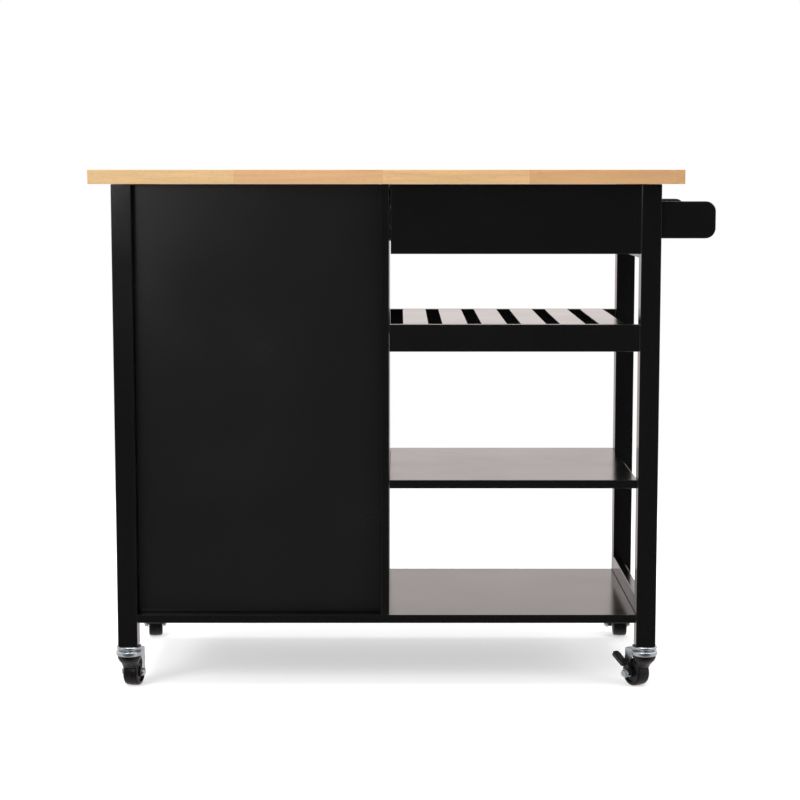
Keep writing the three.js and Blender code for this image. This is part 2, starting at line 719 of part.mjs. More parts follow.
// Everything below one leg, turned about the leg's centre line.
function caster({ place, sideX, sideY, turn, brake }) {
  const swivel = new THREE.Group();
  swivel.rotation.z = THREE.MathUtils.degToRad(turn);
  swivel.add(fork(place), axle(place, brake), wheel(place));
  if (brake) {
    swivel.add(brakeLever(place));
  }
  const group = new THREE.Group();
  group.position.set(sideX * (legOuterX - LEG_SIZE / 2), sideY * (faceY - LEG_SIZE / 2), 0);
  group.add(casterMount(place), swivel);
  return group;
}

const cart = new THREE.Group();
cart.add(worktop(), bottomBoard(), dividerPanel(), backPanel(), innerShelf());
cart.add(...endBoards(), ...bayBoards(), ...slats(), ...towelRail());
cart.add(...drawer(), ...door(), ...hinges());
for (const place of CASTERS) {
  cart.add(leg(place), caster(place));
}

// The origin is on the floor, under the middle of the whole cart.
const reach = new THREE.Box3().setFromObject(cart, true);
cart.position.set(-(reach.min.x + reach.max.x) / 2, -(reach.min.y + reach.max.y) / 2, 0);

export default cart;
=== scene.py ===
# %% [markdown]
# # A kitchen island cart on casters
# The cart has a rubberwood worktop on a black frame, a cupboard in its left bay, and a drawer, a slatted
# rack and two shelves in its right bay. A CAD model already holds every board, joint and moving part at its
# true size. It is loaded here as a fixed frame: nothing in it is moved, and everything made in this file is
# placed by it.

# %% Load the frame
import json
import math

import bmesh
import bpy
from mathutils import Matrix, Vector

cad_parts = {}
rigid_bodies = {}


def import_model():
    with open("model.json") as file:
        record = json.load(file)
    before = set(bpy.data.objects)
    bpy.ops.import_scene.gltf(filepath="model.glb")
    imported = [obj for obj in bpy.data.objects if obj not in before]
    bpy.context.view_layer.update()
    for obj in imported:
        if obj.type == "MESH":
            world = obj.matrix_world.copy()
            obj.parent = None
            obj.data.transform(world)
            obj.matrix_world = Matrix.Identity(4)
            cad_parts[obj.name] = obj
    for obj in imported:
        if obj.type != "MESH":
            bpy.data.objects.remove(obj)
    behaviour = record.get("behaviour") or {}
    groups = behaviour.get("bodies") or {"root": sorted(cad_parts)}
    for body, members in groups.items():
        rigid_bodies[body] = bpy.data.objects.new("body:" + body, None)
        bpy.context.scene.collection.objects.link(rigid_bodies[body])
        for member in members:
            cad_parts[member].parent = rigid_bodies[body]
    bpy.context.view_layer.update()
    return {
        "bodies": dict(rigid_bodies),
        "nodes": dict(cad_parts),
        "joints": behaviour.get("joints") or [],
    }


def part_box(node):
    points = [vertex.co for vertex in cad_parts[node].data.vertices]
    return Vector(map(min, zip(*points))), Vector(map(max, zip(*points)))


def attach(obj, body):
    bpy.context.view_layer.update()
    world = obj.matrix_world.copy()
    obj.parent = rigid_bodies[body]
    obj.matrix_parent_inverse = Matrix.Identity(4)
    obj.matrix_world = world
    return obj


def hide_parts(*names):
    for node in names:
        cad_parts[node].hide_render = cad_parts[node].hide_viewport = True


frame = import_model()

# %% [markdown]
# ## Lengths and places
# Blender works in metres, but furniture is drawn in millimetres, so one constant turns one into the other.
# The casters turn about upright kingpins and the wheels on cross axles. Both are read from the joints of
# the record, so that each new caster piece is modelled once at the origin and then turned and carried to
# its place.

# %% Read the joints
MM = 0.001
joints = {j["name"]: j for j in frame["joints"]}
CORNERS = ("rear_left", "rear_right", "front_left", "front_right")
BRAKED = ("rear_right", "front_right")


def box_mm(node):
    """A node's lowest and highest corners at rest, in millimetres."""
    return [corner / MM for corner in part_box(node)]


def caster_place(corner):
    """Where a caster's kingpin stands on the floor, and how far the caster is turned about it."""
    kingpin = Vector(joints["swivel_" + corner]["pos_m"])
    axle = Vector(joints["wheel_spin_" + corner]["axis"])
    return Vector((kingpin.x, kingpin.y, 0)), math.atan2(axle.y, axle.x)


for corner in CORNERS:
    foot, turn = caster_place(corner)
    print(corner, [round(c / MM) for c in foot], "mm,", round(math.degrees(turn), 1), "degrees")

# %% [markdown]
# ## The camera
# A long lens stands a little under the worktop's height, about 3.5 m from the cart's rear side, and looks
# slightly down. A long lens keeps the uprights parallel, which is how furniture is usually shown.

# %% Place the camera
worktop_low, worktop_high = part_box("worktop")
CAMERA_ASIDE = 0.0238
CAMERA_BACK = 3.432
CAMERA_HEIGHT = 0.920
CAMERA_PITCH = math.radians(6.53)
CAMERA_PLACE = ((worktop_low.x + worktop_high.x) / 2 + CAMERA_ASIDE,
                worktop_low.y - CAMERA_BACK, CAMERA_HEIGHT)
bpy.ops.object.select_all(action="DESELECT")
bpy.ops.object.camera_add(location=CAMERA_PLACE, rotation=(math.pi / 2 - CAMERA_PITCH, 0, 0))
camera = bpy.context.object
camera.name = "camera"
camera.data.sensor_width = 36
camera.data.lens = 88.3
bpy.context.scene.camera = camera
print("camera at", CAMERA_PLACE, "with a", camera.data.lens, "mm lens")

# %% [markdown]
# ## Adding nodes
# Every material below is a small graph of nodes. This one function adds any node: settings are plain
# attributes of the node, and inputs take a number, a colour or another node's output, which is then linked.
# A whole node stands for its first output. Inputs are given by name, or as a plain row in the node's own
# order: a Map Range takes its value, the range that it comes from, and the range that it goes to. Colours
# are written as the hex values seen on a screen, and the renderer wants linear light, so one function
# converts them.

# %% Node and colour helpers
MATH = "ShaderNodeMath"
NOISE = "ShaderNodeTexNoise"
RANGE = "ShaderNodeMapRange"
MAPPING = "ShaderNodeMapping"
MIX = "ShaderNodeMix"
BUMP = "ShaderNodeBump"


def add_node(tree, kind, inputs=(), **settings):
    node = tree.nodes.new(kind)
    for name, value in settings.items():
        setattr(node, name, value)
    numbered = inputs.items() if isinstance(inputs, dict) else enumerate(inputs)
    for name, value in numbered:
        if isinstance(value, bpy.types.Node):
            value = value.outputs[0]
        if isinstance(value, bpy.types.NodeSocket):
            tree.links.new(value, node.inputs[name])
        else:
            node.inputs[name].default_value = value
    return node


def linear(hex_colour):
    """An sRGB hex colour such as 'c8c8c8' as linear red, green, blue and an alpha of 1."""
    channels = [int(hex_colour[i:i + 2], 16) / 255 for i in (0, 2, 4)]
    light = [c / 12.92 if c <= 0.04045 else ((c + 0.055) / 1.055) ** 2.4 for c in channels]
    return (*light, 1.0)


print("mid grey is", round(linear("808080")[0], 3), "in linear light")

# %% [markdown]
# ## The room
# The cart stands in a white studio. The world is a soft room that shows in anything shiny: bright behind
# the cart and at its sides, so that the shelves and the plated steel catch a pale sheen, and dark on the
# viewer's side, so that the black lacquer stays deep. The viewer sees plain white wherever nothing stands.

# %% Make the room
ROOM_BEHIND = 1.10
ROOM_VIEWER_SIDE = 0.05
FLOOR_BEHIND = 0.75
FLOOR_VIEWER_SIDE = 0.09
ROOM_FILL = 0.62
DARK_TO, BRIGHT_FROM = -0.92, -0.30     # along Y: -1 is straight at the viewer's side, 1 is behind the cart
HORIZON_BLUR = -0.04
world = bpy.data.worlds.new("white_studio")
bpy.context.scene.world = world
world.use_nodes = True
room = world.node_tree
room.nodes.clear()
where = add_node(room, "ShaderNodeTexCoord")
way = add_node(room, "ShaderNodeSeparateXYZ", (where.outputs["Generated"],))
behind = add_node(room, RANGE, (way.outputs["Y"], DARK_TO, BRIGHT_FROM, ROOM_VIEWER_SIDE, ROOM_BEHIND),
                  interpolation_type="SMOOTHSTEP")
underfoot = add_node(room, RANGE, (way.outputs["Y"], DARK_TO, BRIGHT_FROM, FLOOR_VIEWER_SIDE, FLOOR_BEHIND),
                     interpolation_type="SMOOTHSTEP")
above = add_node(room, RANGE, (way.outputs["Z"], HORIZON_BLUR, 0.0, 0.0, 1.0))
seen_in_gloss = add_node(room, MIX, {0: above, 2: underfoot, 3: behind}, data_type="FLOAT")
path = add_node(room, "ShaderNodeLightPath")
by_matt = add_node(room, MIX, {0: path.outputs["Is Glossy Ray"], 2: ROOM_FILL, 3: seen_in_gloss},
                   data_type="FLOAT")
by_eye = add_node(room, MIX, {0: path.outputs["Is Camera Ray"], 2: by_matt, 3: 1.0}, data_type="FLOAT")
tint = add_node(room, MIX, {0: path.outputs["Is Glossy Ray"], 6: linear("ffffff"), 7: linear("fff5f2")},
                data_type="RGBA")
sky = add_node(room, "ShaderNodeBackground", {"Color": tint.outputs[2], "Strength": by_eye})
add_node(room, "ShaderNodeOutputWorld", {"Surface": sky})
bpy.context.scene.view_settings.view_transform = "Standard"
print("room: behind", ROOM_BEHIND, "viewer's side", ROOM_VIEWER_SIDE)

# %% [markdown]
# ## The lights
# Four softboxes light the cart. The key stands high on the left of the viewer, close enough that the left
# end of the worktop is a little brighter than the right. A weak one, lower and nearer, is there only for
# its reflection: it lays a soft sheen over the upper left of the black back panel. A fill evens out the
# right side, and an overhead box whitens the floor and leaves a soft shadow under the cart. They are hidden
# from the eye, so that they never show as white squares when the cart is seen from its other sides. The key
# is kept out of reflections too, or its glare would bleach the lacquered worktop when that is seen from the
# door's side.

# %% Hang the softboxes
AIM = Vector((0, 0, 0.45))
SOFTBOXES = {               # place and width in metres, power in watts
    "key_softbox": ((-2.3, -2.9, 2.5), 1.3, 58),
    "sheen_softbox": ((-1.50, -3.3, 1.36), 1.10, 15),
    "fill_softbox": ((2.8, -2.2, 2.4), 1.4, 20),
    "overhead_softbox": ((0.0, -0.3, 3.1), 2.4, 75),
}


def hang_softbox(name, place, width, watts):
    bpy.ops.object.light_add(type="AREA", location=place)
    box = bpy.context.object
    box.name = name
    box.data.shape = "SQUARE"
    box.data.size = width
    box.data.energy = watts
    box.rotation_euler = (AIM - Vector(place)).to_track_quat("-Z", "Y").to_euler()
    box.visible_camera = False
    return box


for name, (place, width, watts) in SOFTBOXES.items():
    box = hang_softbox(name, place, width, watts)
    box.visible_glossy = name != "key_softbox"
    print(name, "at", place, "gives", watts, "W")

# %% [markdown]
# ## The floor
# The floor is a round sheet of white paper that thins out towards its rim, where the white room shows
# through, so that no edge is ever seen. It glows a little, as lit paper on a light table does, which keeps
# the cart's shadow soft and pale.

# %% Lay the floor
FLOOR_RADIUS = 3.2
FLOOR_FADE_FROM = 1.6
bpy.ops.object.select_all(action="DESELECT")
bpy.ops.mesh.primitive_circle_add(vertices=96, radius=FLOOR_RADIUS, fill_type="NGON", location=(0, 0, 0))
floor = bpy.context.object
floor.name = "floor"
paper = bpy.data.materials.new("matt_white_paper")
paper.use_nodes = True
graph = paper.node_tree
graph.nodes.clear()
place = add_node(graph, "ShaderNodeTexCoord")
reach = add_node(graph, "ShaderNodeVectorMath", (place.outputs["Object"],), operation="LENGTH")
fade = add_node(graph, RANGE, (reach.outputs["Value"], FLOOR_FADE_FROM, FLOOR_RADIUS - 0.1),
                interpolation_type="SMOOTHSTEP")
FLOOR_GLOW = 0.49
matt = add_node(graph, "ShaderNodeBsdfDiffuse", {"Color": linear("ececec")})
glow = add_node(graph, "ShaderNodeEmission", {"Strength": FLOOR_GLOW})
white = add_node(graph, "ShaderNodeAddShader", (matt, glow))
clear = add_node(graph, "ShaderNodeBsdfTransparent")
mixed = add_node(graph, "ShaderNodeMixShader", (fade, white, clear))
add_node(graph, "ShaderNodeOutputMaterial", {"Surface": mixed})
floor.data.materials.append(paper)
floor.visible_glossy = False
print("floor radius", FLOOR_RADIUS, "m")

# %% [markdown]
# ## Starting a material
# Nearly every finish here is a Principled shader that reads Object coordinates. The objects all sit at the
# origin unscaled, so these coordinates are metres on the real cart and a pattern can be given its true
# size. Each material starts with the shader, the coordinates and the output, and returns them for its own
# nodes.

# %% Material starter
def new_material(name, **shader):
    material = bpy.data.materials.new(name)
    material.use_nodes = True
    tree = material.node_tree
    tree.nodes.clear()
    place = add_node(tree, "ShaderNodeTexCoord")
    surface = add_node(tree, "ShaderNodeBsdfPrincipled", shader)
    add_node(tree, "ShaderNodeOutputMaterial", {"Surface": surface})
    return material, tree, place.outputs["Object"], surface


def edge_wear(tree, width):
    """0 on open faces and 1 on an edge: only near edges does a rounded normal lean from the true one."""
    rounded = add_node(tree, "ShaderNodeBevel", {"Radius": width}, samples=3)
    true = add_node(tree, "ShaderNodeNewGeometry")
    same = add_node(tree, "ShaderNodeVectorMath", (rounded, true.outputs["True Normal"]),
                    operation="DOT_PRODUCT")
    lean = add_node(tree, RANGE, (same.outputs["Value"], 0.995, 0.75))
    return lean


def wire(tree, surface, colour, gloss, bump):
    """Feeds the finished colour, roughness and bump into the shader."""
    for name, source in (("Base Color", colour), ("Roughness", gloss.outputs[0]),
                         ("Normal", bump.outputs[0])):
        tree.links.new(source, surface.inputs[name])


print("material helpers ready")

# %% [markdown]
# ## Satin black lacquer
# The frame is sprayed with black polyurethane lacquer: smooth, satin, with an index of refraction of 1.5,
# so it is nearly black seen square on and turns pale at a low angle. On fibreboard the film is level, with
# a faint orange peel 2 to 3 mm across left by the spray gun. On rubberwood the open pores, 0.2 mm wide and
# several millimetres long, sink a little into the film and follow the grain. Sharp edges are rubbed
# slightly lighter.

# %% Make the lacquers
ORANGE_PEEL = 1 / (2.6 * MM)
PORE_WIDTH = 0.8 * MM      # drawn coarser than the real 0.2 mm, which would be too fine to show
PORE_LENGTH = 14 * MM
CLOUD = 1 / (160 * MM)


def black_lacquer(name, black, rubbed, roughness, grain_axis=None):
    material, tree, place, surface = new_material(name, IOR=1.5)
    cloud = add_node(tree, NOISE, {"Vector": place, "Scale": CLOUD, "Detail": 3.0})
    film = add_node(tree, MIX, {0: cloud, 6: linear(black[0]), 7: linear(black[1])}, data_type="RGBA")
    worn = add_node(tree, NOISE, {"Vector": place, "Scale": 1 / (35 * MM), "Detail": 4.0})
    patchy = add_node(tree, RANGE, (worn, 0.45, 0.7, 0.15))
    edges = add_node(tree, MATH, (edge_wear(tree, 1.2 * MM), patchy), operation="MULTIPLY")
    colour = add_node(tree, MIX, {0: edges, 6: film.outputs[2], 7: linear(rubbed)}, data_type="RGBA")
    gloss = add_node(tree, RANGE, (cloud, 0.3, 0.7, roughness - 0.025, roughness + 0.025))
    peel = add_node(tree, NOISE, {"Vector": place, "Scale": ORANGE_PEEL, "Detail": 1.0})
    bump = add_node(tree, BUMP, {"Height": peel, "Strength": 0.05, "Distance": 0.1 * MM})
    if grain_axis is not None:
        scale = [1 / PORE_WIDTH] * 3
        scale[grain_axis] = 1 / PORE_LENGTH
        drawn_out = add_node(tree, MAPPING, {"Vector": place, "Scale": scale})
        pores = add_node(tree, NOISE, {"Vector": drawn_out, "Scale": 1.0, "Detail": 2.0})
        sunk = add_node(tree, RANGE, (pores, 0.52, 0.68, 1.0, 0.0))
        bump = add_node(tree, BUMP,
                        {"Height": sunk, "Strength": 0.12, "Distance": 0.12 * MM, "Normal": bump})
    wire(tree, surface, colour.outputs[2], gloss, bump)
    print("made", name)
    return material


BLACK = ("070708", "0a0a0a")
HARDBOARD_BLACK = ("0e0e0f", "121212")
RUBBED = "2b2a29"
ALONG_X, ALONG_Y, ALONG_Z = range(3)
lacquer_on_mdf = black_lacquer("satin_lacquer_on_fibreboard", BLACK, RUBBED, 0.18)
lacquer_upright = black_lacquer("satin_lacquer_on_rubberwood_upright", BLACK, RUBBED, 0.16, ALONG_Z)
lacquer_lengthwise = black_lacquer("satin_lacquer_on_rubberwood_lengthwise", BLACK, RUBBED, 0.22, ALONG_X)
lacquer_crosswise = black_lacquer("satin_lacquer_on_rubberwood_crosswise", BLACK, RUBBED, 0.15, ALONG_Y)
lacquer_on_hardboard = black_lacquer("satin_lacquer_on_hardboard", HARDBOARD_BLACK, RUBBED, 0.25)

# %% [markdown]
# ## Rubberwood worktop
# The top is glued up from square rubberwood staves, laid in rows along its length. A stave is about 257 mm
# long and 45 mm wide, and its ends meet the next ones in finger joints. Neighbouring staves come from
# different trees, so their colour jumps from straw to tan. Rubberwood has open pores that show as short
# dark flecks along the grain. A clear satin lacquer seals it all. The pattern is worked out from the
# coordinates: the row from the depth, the stave from the length, and a random number for each stave from
# the two.

# %% Make the worktop wood
STAVE_LENGTH = 257 * MM
STAVE_WIDTH = 45 * MM
STAVE_JOINT_X = -34.7 * MM
REAR_EDGE_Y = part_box("worktop")[0].y
FINGER_DEPTH = 9 * MM
FINGER_PITCH = 4 * MM
STAVE_SEED = 3.0
REAR_STAVES = ((0.0, "d4ae7b"), (0.2, "d3a676"), (0.4, "d6ad7a"), (0.6, "ca9d6d"), (0.8, "ca9d6d"))
OTHER_STAVES = ((0.0, "d5ab7e"), (0.3, "ddb586"), (0.55, "d9b079"), (0.8, "cd9d70"), (1.0, "c69567"))


def stave_wood():
    material, tree, place, surface = new_material(
        "clear_lacquered_rubberwood_staves", IOR=1.5, **{"Coat Weight": 0.25, "Coat Roughness": 0.22})
    axis = add_node(tree, "ShaderNodeSeparateXYZ", (place,))
    x, y = axis.outputs[0], axis.outputs[1]
    depth = add_node(tree, MATH, (y, REAR_EDGE_Y - 0.2 * MM), operation="SUBTRACT")
    across = add_node(tree, MATH, (depth, STAVE_WIDTH), operation="DIVIDE")
    row = add_node(tree, MATH, (across,), operation="FLOOR")
    step = add_node(tree, MATH, (row, 0.618), operation="MULTIPLY")
    part = add_node(tree, MATH, (step,), operation="FRACT")
    shift = add_node(tree, MATH, (part, STAVE_LENGTH, x), operation="MULTIPLY_ADD")
    ahead = add_node(tree, MATH, (y, 1.0), operation="ADD")
    fingers = add_node(tree, MATH, (ahead, FINGER_PITCH / 2), operation="PINGPONG")
    fingered = add_node(tree, MATH, (fingers, FINGER_DEPTH / (FINGER_PITCH / 2), shift),
                        operation="MULTIPLY_ADD")
    run = add_node(tree, MATH, (fingered, STAVE_JOINT_X), operation="SUBTRACT")
    along = add_node(tree, MATH, (run, STAVE_LENGTH), operation="DIVIDE")
    stave = add_node(tree, MATH, (along,), operation="FLOOR")
    number = add_node(tree, "ShaderNodeCombineXYZ", (row, stave, STAVE_SEED))
    luck = add_node(tree, "ShaderNodeTexWhiteNoise", {"Vector": number}, noise_dimensions="3D")
    tone = add_node(tree, "ShaderNodeValToRGB", {"Fac": luck.outputs["Value"]})
    from_left = add_node(tree, MATH, (stave, 2.5), operation="ADD")
    share = add_node(tree, MATH, (from_left, 5.0), operation="DIVIDE")
    rear_tone = add_node(tree, "ShaderNodeValToRGB", {"Fac": share})
    rear_tone.color_ramp.interpolation = "CONSTANT"
    for ramp, staves in ((tone.color_ramp, OTHER_STAVES), (rear_tone.color_ramp, REAR_STAVES)):
        while len(ramp.elements) < len(staves):
            ramp.elements.new(0.5)
        for element, (at, hex_colour) in zip(ramp.elements, staves):
            element.position = at
            element.color = linear(hex_colour)
    is_rear = add_node(tree, MATH, (row, 0.5), operation="LESS_THAN")
    picked_tone = add_node(tree, MIX, {0: is_rear, 6: tone, 7: rear_tone}, data_type="RGBA")
    own_grain = add_node(tree, "ShaderNodeVectorMath", (place, luck.outputs["Color"]), operation="ADD")
    long_rings = add_node(tree, MAPPING, {"Vector": own_grain, "Scale": (7, 130, 130)})
    rings = add_node(tree, NOISE, {"Vector": long_rings, "Scale": 1.0, "Detail": 4.0, "Distortion": 0.4})
    ringed = add_node(tree, RANGE, (rings, 0.3, 0.7, 0.88, 1.06))
    pore_scale = (1 / (9 * MM), 1 / (0.6 * MM), 1 / (0.6 * MM))
    long_pores = add_node(tree, MAPPING, {"Vector": own_grain, "Scale": pore_scale})
    pores = add_node(tree, NOISE, {"Vector": long_pores, "Scale": 1.0, "Detail": 1.0})
    fleck = add_node(tree, RANGE, (pores, 0.60, 0.70, 1.0, 0.80))
    to_row_edge = add_node(tree, MATH, (across, 0.5), operation="PINGPONG")
    glue_line = add_node(tree, RANGE, (to_row_edge, 0.004, 0.012, 0.80, 1.0))
    to_stave_end = add_node(tree, MATH, (along, 0.5), operation="PINGPONG")
    glue_end = add_node(tree, RANGE, (to_stave_end, 0.0012, 0.0035, 0.86, 1.0))
    grain = add_node(tree, MATH, (ringed, fleck), operation="MULTIPLY")
    glue = add_node(tree, MATH, (glue_line, glue_end), operation="MULTIPLY")
    shade = add_node(tree, MATH, (grain, glue), operation="MULTIPLY")
    handled = add_node(tree, MATH, (edge_wear(tree, 1.5 * MM), -0.08, 1.0), operation="MULTIPLY_ADD")
    worn_shade = add_node(tree, MATH, (shade, handled), operation="MULTIPLY")
    colour = add_node(tree, "ShaderNodeVectorMath", {0: picked_tone.outputs[2], "Scale": worn_shade},
                      operation="SCALE")
    gloss = add_node(tree, RANGE, (rings, 0.3, 0.7, 0.36, 0.44))
    bump = add_node(tree, BUMP, {"Height": shade, "Strength": 0.15, "Distance": 0.15 * MM})
    wire(tree, surface, colour.outputs[0], gloss, bump)
    return material


worktop_wood = stave_wood()
print("staves of", round(STAVE_LENGTH / MM), "by", round(STAVE_WIDTH / MM), "mm")

# %% [markdown]
# ## Drawer box wood
# The drawer box is pale birch plywood under a thin clear lacquer. Its faces show long, soft grain, and its
# cut edges show the layers it is pressed from, about 1.4 mm each.

# %% Make the plywood
PLY = 1.4 * MM


def plywood(name, grain_axis, layer_axis):
    material, tree, place, surface = new_material(name, IOR=1.48)
    scale = [1 / (5 * MM)] * 3
    scale[grain_axis] = 1 / (90 * MM)
    long_grain = add_node(tree, MAPPING, {"Vector": place, "Scale": scale})
    grain = add_node(tree, NOISE, {"Vector": long_grain, "Scale": 1.0, "Detail": 5.0, "Distortion": 0.5})
    colour = add_node(tree, MIX, {0: grain, 6: linear("dcc69c"), 7: linear("c7a878")}, data_type="RGBA")
    axis = add_node(tree, "ShaderNodeSeparateXYZ", (place,))
    layer = add_node(tree, MATH, (axis.outputs[layer_axis], PLY), operation="PINGPONG")
    dark = add_node(tree, RANGE, (layer, 0.0, PLY, 0.72, 1.0))
    plain = add_node(tree, "ShaderNodeNewGeometry")
    facing = add_node(tree, "ShaderNodeSeparateXYZ", (plain.outputs["True Normal"],))
    squareness = add_node(tree, MATH, (facing.outputs[layer_axis],), operation="ABSOLUTE")
    is_face = add_node(tree, RANGE, (squareness, 0.5, 0.9))
    shade = add_node(tree, MIX, {0: is_face, 2: dark, 3: 1.0}, data_type="FLOAT")
    shaded = add_node(tree, "ShaderNodeVectorMath", {0: colour.outputs[2], "Scale": shade},
                      operation="SCALE")
    gloss = add_node(tree, RANGE, (grain, 0, 1, 0.42, 0.58))
    bump = add_node(tree, BUMP, {"Height": grain, "Strength": 0.1, "Distance": 0.1 * MM})
    wire(tree, surface, shaded.outputs[0], gloss, bump)
    print("made", name)
    return material


drawer_side_wood = plywood("birch_plywood_along_depth", 1, 0)
drawer_back_wood = plywood("birch_plywood_along_width", 0, 1)
drawer_bottom_wood = plywood("birch_plywood_flat", 0, 2)

# %% [markdown]
# ## Metals
# The caster stampings, axles, runners and screws are steel with bright zinc plating: a slightly blue,
# slightly cloudy shine with fine scratches. The hinges and knobs are satin nickel, warmer and evenly
# brushed. A metal's colour is its reflection, so both are fully metallic and keep the default index of
# refraction.

# %% Make the metals
def plated_metal(name, bright, dull, roughness, scratch):
    material, tree, place, surface = new_material(name, Metallic=1.0)
    cloud = add_node(tree, NOISE, {"Vector": place, "Scale": 1 / (7 * MM), "Detail": 4.0})
    brushed = add_node(tree, MAPPING, {"Vector": place, "Scale": scratch})
    fine = add_node(tree, NOISE, {"Vector": brushed, "Scale": 1.0, "Detail": 2.0})
    total = add_node(tree, MATH, (cloud, fine), operation="ADD")
    both = add_node(tree, MATH, (total, 0.5), operation="MULTIPLY")
    spread = add_node(tree, RANGE, (both, 0.36, 0.64))
    colour = add_node(tree, MIX, {0: spread, 6: linear(bright), 7: linear(dull)}, data_type="RGBA")
    worn = edge_wear(tree, 0.6 * MM)
    gloss = add_node(tree, RANGE, (spread, 0, 1, roughness - 0.06, roughness + 0.08))
    polished = add_node(tree, MATH, (worn, -0.08, gloss), operation="MULTIPLY_ADD")
    bump = add_node(tree, BUMP, {"Height": both, "Strength": 0.08, "Distance": 0.05 * MM})
    wire(tree, surface, colour.outputs[2], polished, bump)
    print("made", name)
    return material


FINE = 1 / (0.5 * MM)
LONG = 1 / (12 * MM)
zinc_steel = plated_metal("bright_zinc_plated_steel", "d6e0e7", "a8b2ba", 0.30, (FINE, LONG, FINE))
satin_nickel = plated_metal("satin_nickel_plating", "cfc9be", "b3ada2", 0.34, (FINE, FINE, LONG))

# %% [markdown]
# ## Plastics
# The wheels and hoods are moulded from black polypropylene, and the brake pedals from black nylon. Moulded
# plastic has a fine spark-eroded texture, and the tread is scuffed matt and grey where it rolls.

# %% Make the plastics
def moulded_plastic(name, black, scuffed, roughness, scuff_share, specular):
    material, tree, place, surface = new_material(name, IOR=1.49, **{"Specular IOR Level": specular})
    scuff = add_node(tree, NOISE, {"Vector": place, "Scale": 1 / (4 * MM), "Detail": 6.0})
    patch = add_node(tree, RANGE, (scuff, 0.5, 0.75, 0.0, scuff_share))
    edges = add_node(tree, MATH, (edge_wear(tree, 0.8 * MM), 0.5), operation="MULTIPLY")
    rubbed = add_node(tree, MATH, (patch, edges), operation="MAXIMUM")
    colour = add_node(tree, MIX, {0: rubbed, 6: linear(black), 7: linear(scuffed)}, data_type="RGBA")
    gloss = add_node(tree, RANGE, (scuff, 0.35, 0.65, roughness - 0.05, roughness + 0.1))
    texture = add_node(tree, NOISE, {"Vector": place, "Scale": 1 / (0.5 * MM), "Detail": 1.0})
    bump = add_node(tree, BUMP, {"Height": texture, "Strength": 0.15, "Distance": 0.05 * MM})
    wire(tree, surface, colour.outputs[2], gloss, bump)
    print("made", name)
    return material


wheel_plastic = moulded_plastic("moulded_black_polypropylene", "0a0a0b", "2b2a28", 0.30, 0.4, 0.24)
lever_plastic = moulded_plastic("moulded_black_nylon", "101113", "4a4a4a", 0.34, 0.3, 0.45)
hood_plastic = moulded_plastic("glossy_black_hood_plastic", "080809", "242322", 0.20, 0.15, 0.30)

# %% [markdown]
# ## Finishes for the CAD nodes
# The boards, legs and rails have their true shape already, so they are kept and only get their finish. Each
# is matched to the way its wood runs: upright in the legs, lengthwise in the rails, crosswise in the slats.

# %% Finish the boards and legs
FINISHES = {
    lacquer_upright: tuple("leg_" + corner for corner in CORNERS),
    lacquer_lengthwise: ("slat_rail_rear", "slat_rail_front", "towel_bracket_rear", "towel_bracket_front"),
    lacquer_crosswise: ("slat_1", "slat_2", "slat_3", "slat_4", "slat_5", "slat_6",
                        "side_rail_top_right", "side_rail_bottom_right"),
    lacquer_on_mdf: ("bottom_board", "divider_panel", "side_panel_left", "mid_shelf", "inner_shelf",
                     "apron_rear", "drawer_front", "door_panel", "door_frame"),
    lacquer_on_hardboard: ("back_panel",),
    worktop_wood: ("worktop",),
    drawer_side_wood: ("drawer_side_left", "drawer_side_right"),
    drawer_back_wood: ("drawer_back",),
    drawer_bottom_wood: ("drawer_bottom",),
    zinc_steel: ("runner_left_fixed", "runner_right_fixed", "runner_left_moving", "runner_right_moving"),
    satin_nickel: ("hinge_top_frame_leaf", "hinge_top_door_leaf",
                   "hinge_bottom_frame_leaf", "hinge_bottom_door_leaf"),
}


def give_finish(piece, material):
    """Puts one material on the whole piece."""
    piece.data.materials.clear()
    piece.data.materials.append(material)


for material, nodes in FINISHES.items():
    for node in nodes:
        give_finish(frame["nodes"][node], material)
    print(material.name, "on", len(nodes), "nodes")

# %% [markdown]
# ## Modelling by hand, in code
# The round and moving parts are remodelled finer than the CAD has them. Each starts as a primitive at its
# size and place and is then shaped in edit mode. These few helpers do what a modeller's hands do: add a
# primitive, pick faces or edges by where they are, pull an end out in steps, join and cut solids, and
# soften edges.

# %% Modelling helpers
AXIS_TURNS = {"X": (0, math.pi / 2, 0), "Y": (math.pi / 2, 0, 0), "Z": (0, 0, 0)}


def set_aside():
    """Leaves edit mode and deselects everything, so that the next operator acts on nothing by accident."""
    if bpy.context.object is not None and bpy.context.object.mode == "EDIT":
        bpy.ops.object.mode_set(mode="OBJECT")
    bpy.ops.object.select_all(action="DESELECT")


def take(piece):
    """Makes one piece the only selected and the active one."""
    set_aside()
    piece.select_set(True)
    bpy.context.view_layer.objects.active = piece


def round_bar(name, axis, radius, low, high, middle, sides=48):
    """A cylinder along an axis from low to high, in millimetres, placed on the other two by middle."""
    set_aside()
    centre = list(middle)
    centre.insert("XYZ".index(axis), (low + high) / 2)
    bpy.ops.mesh.primitive_cylinder_add(
        vertices=sides, radius=radius * MM, depth=(high - low) * MM,
        location=Vector(centre) * MM, rotation=AXIS_TURNS[axis])
    piece = bpy.context.object
    piece.name = name
    bpy.ops.object.transform_apply(location=True, rotation=True, scale=True)
    return piece


def block(name, low, high):
    """A box between two corners, in millimetres."""
    set_aside()
    low, high = Vector(low) * MM, Vector(high) * MM
    bpy.ops.mesh.primitive_cube_add(size=1, location=(low + high) / 2, scale=high - low)
    piece = bpy.context.object
    piece.name = name
    bpy.ops.object.transform_apply(location=True, rotation=True, scale=True)
    return piece


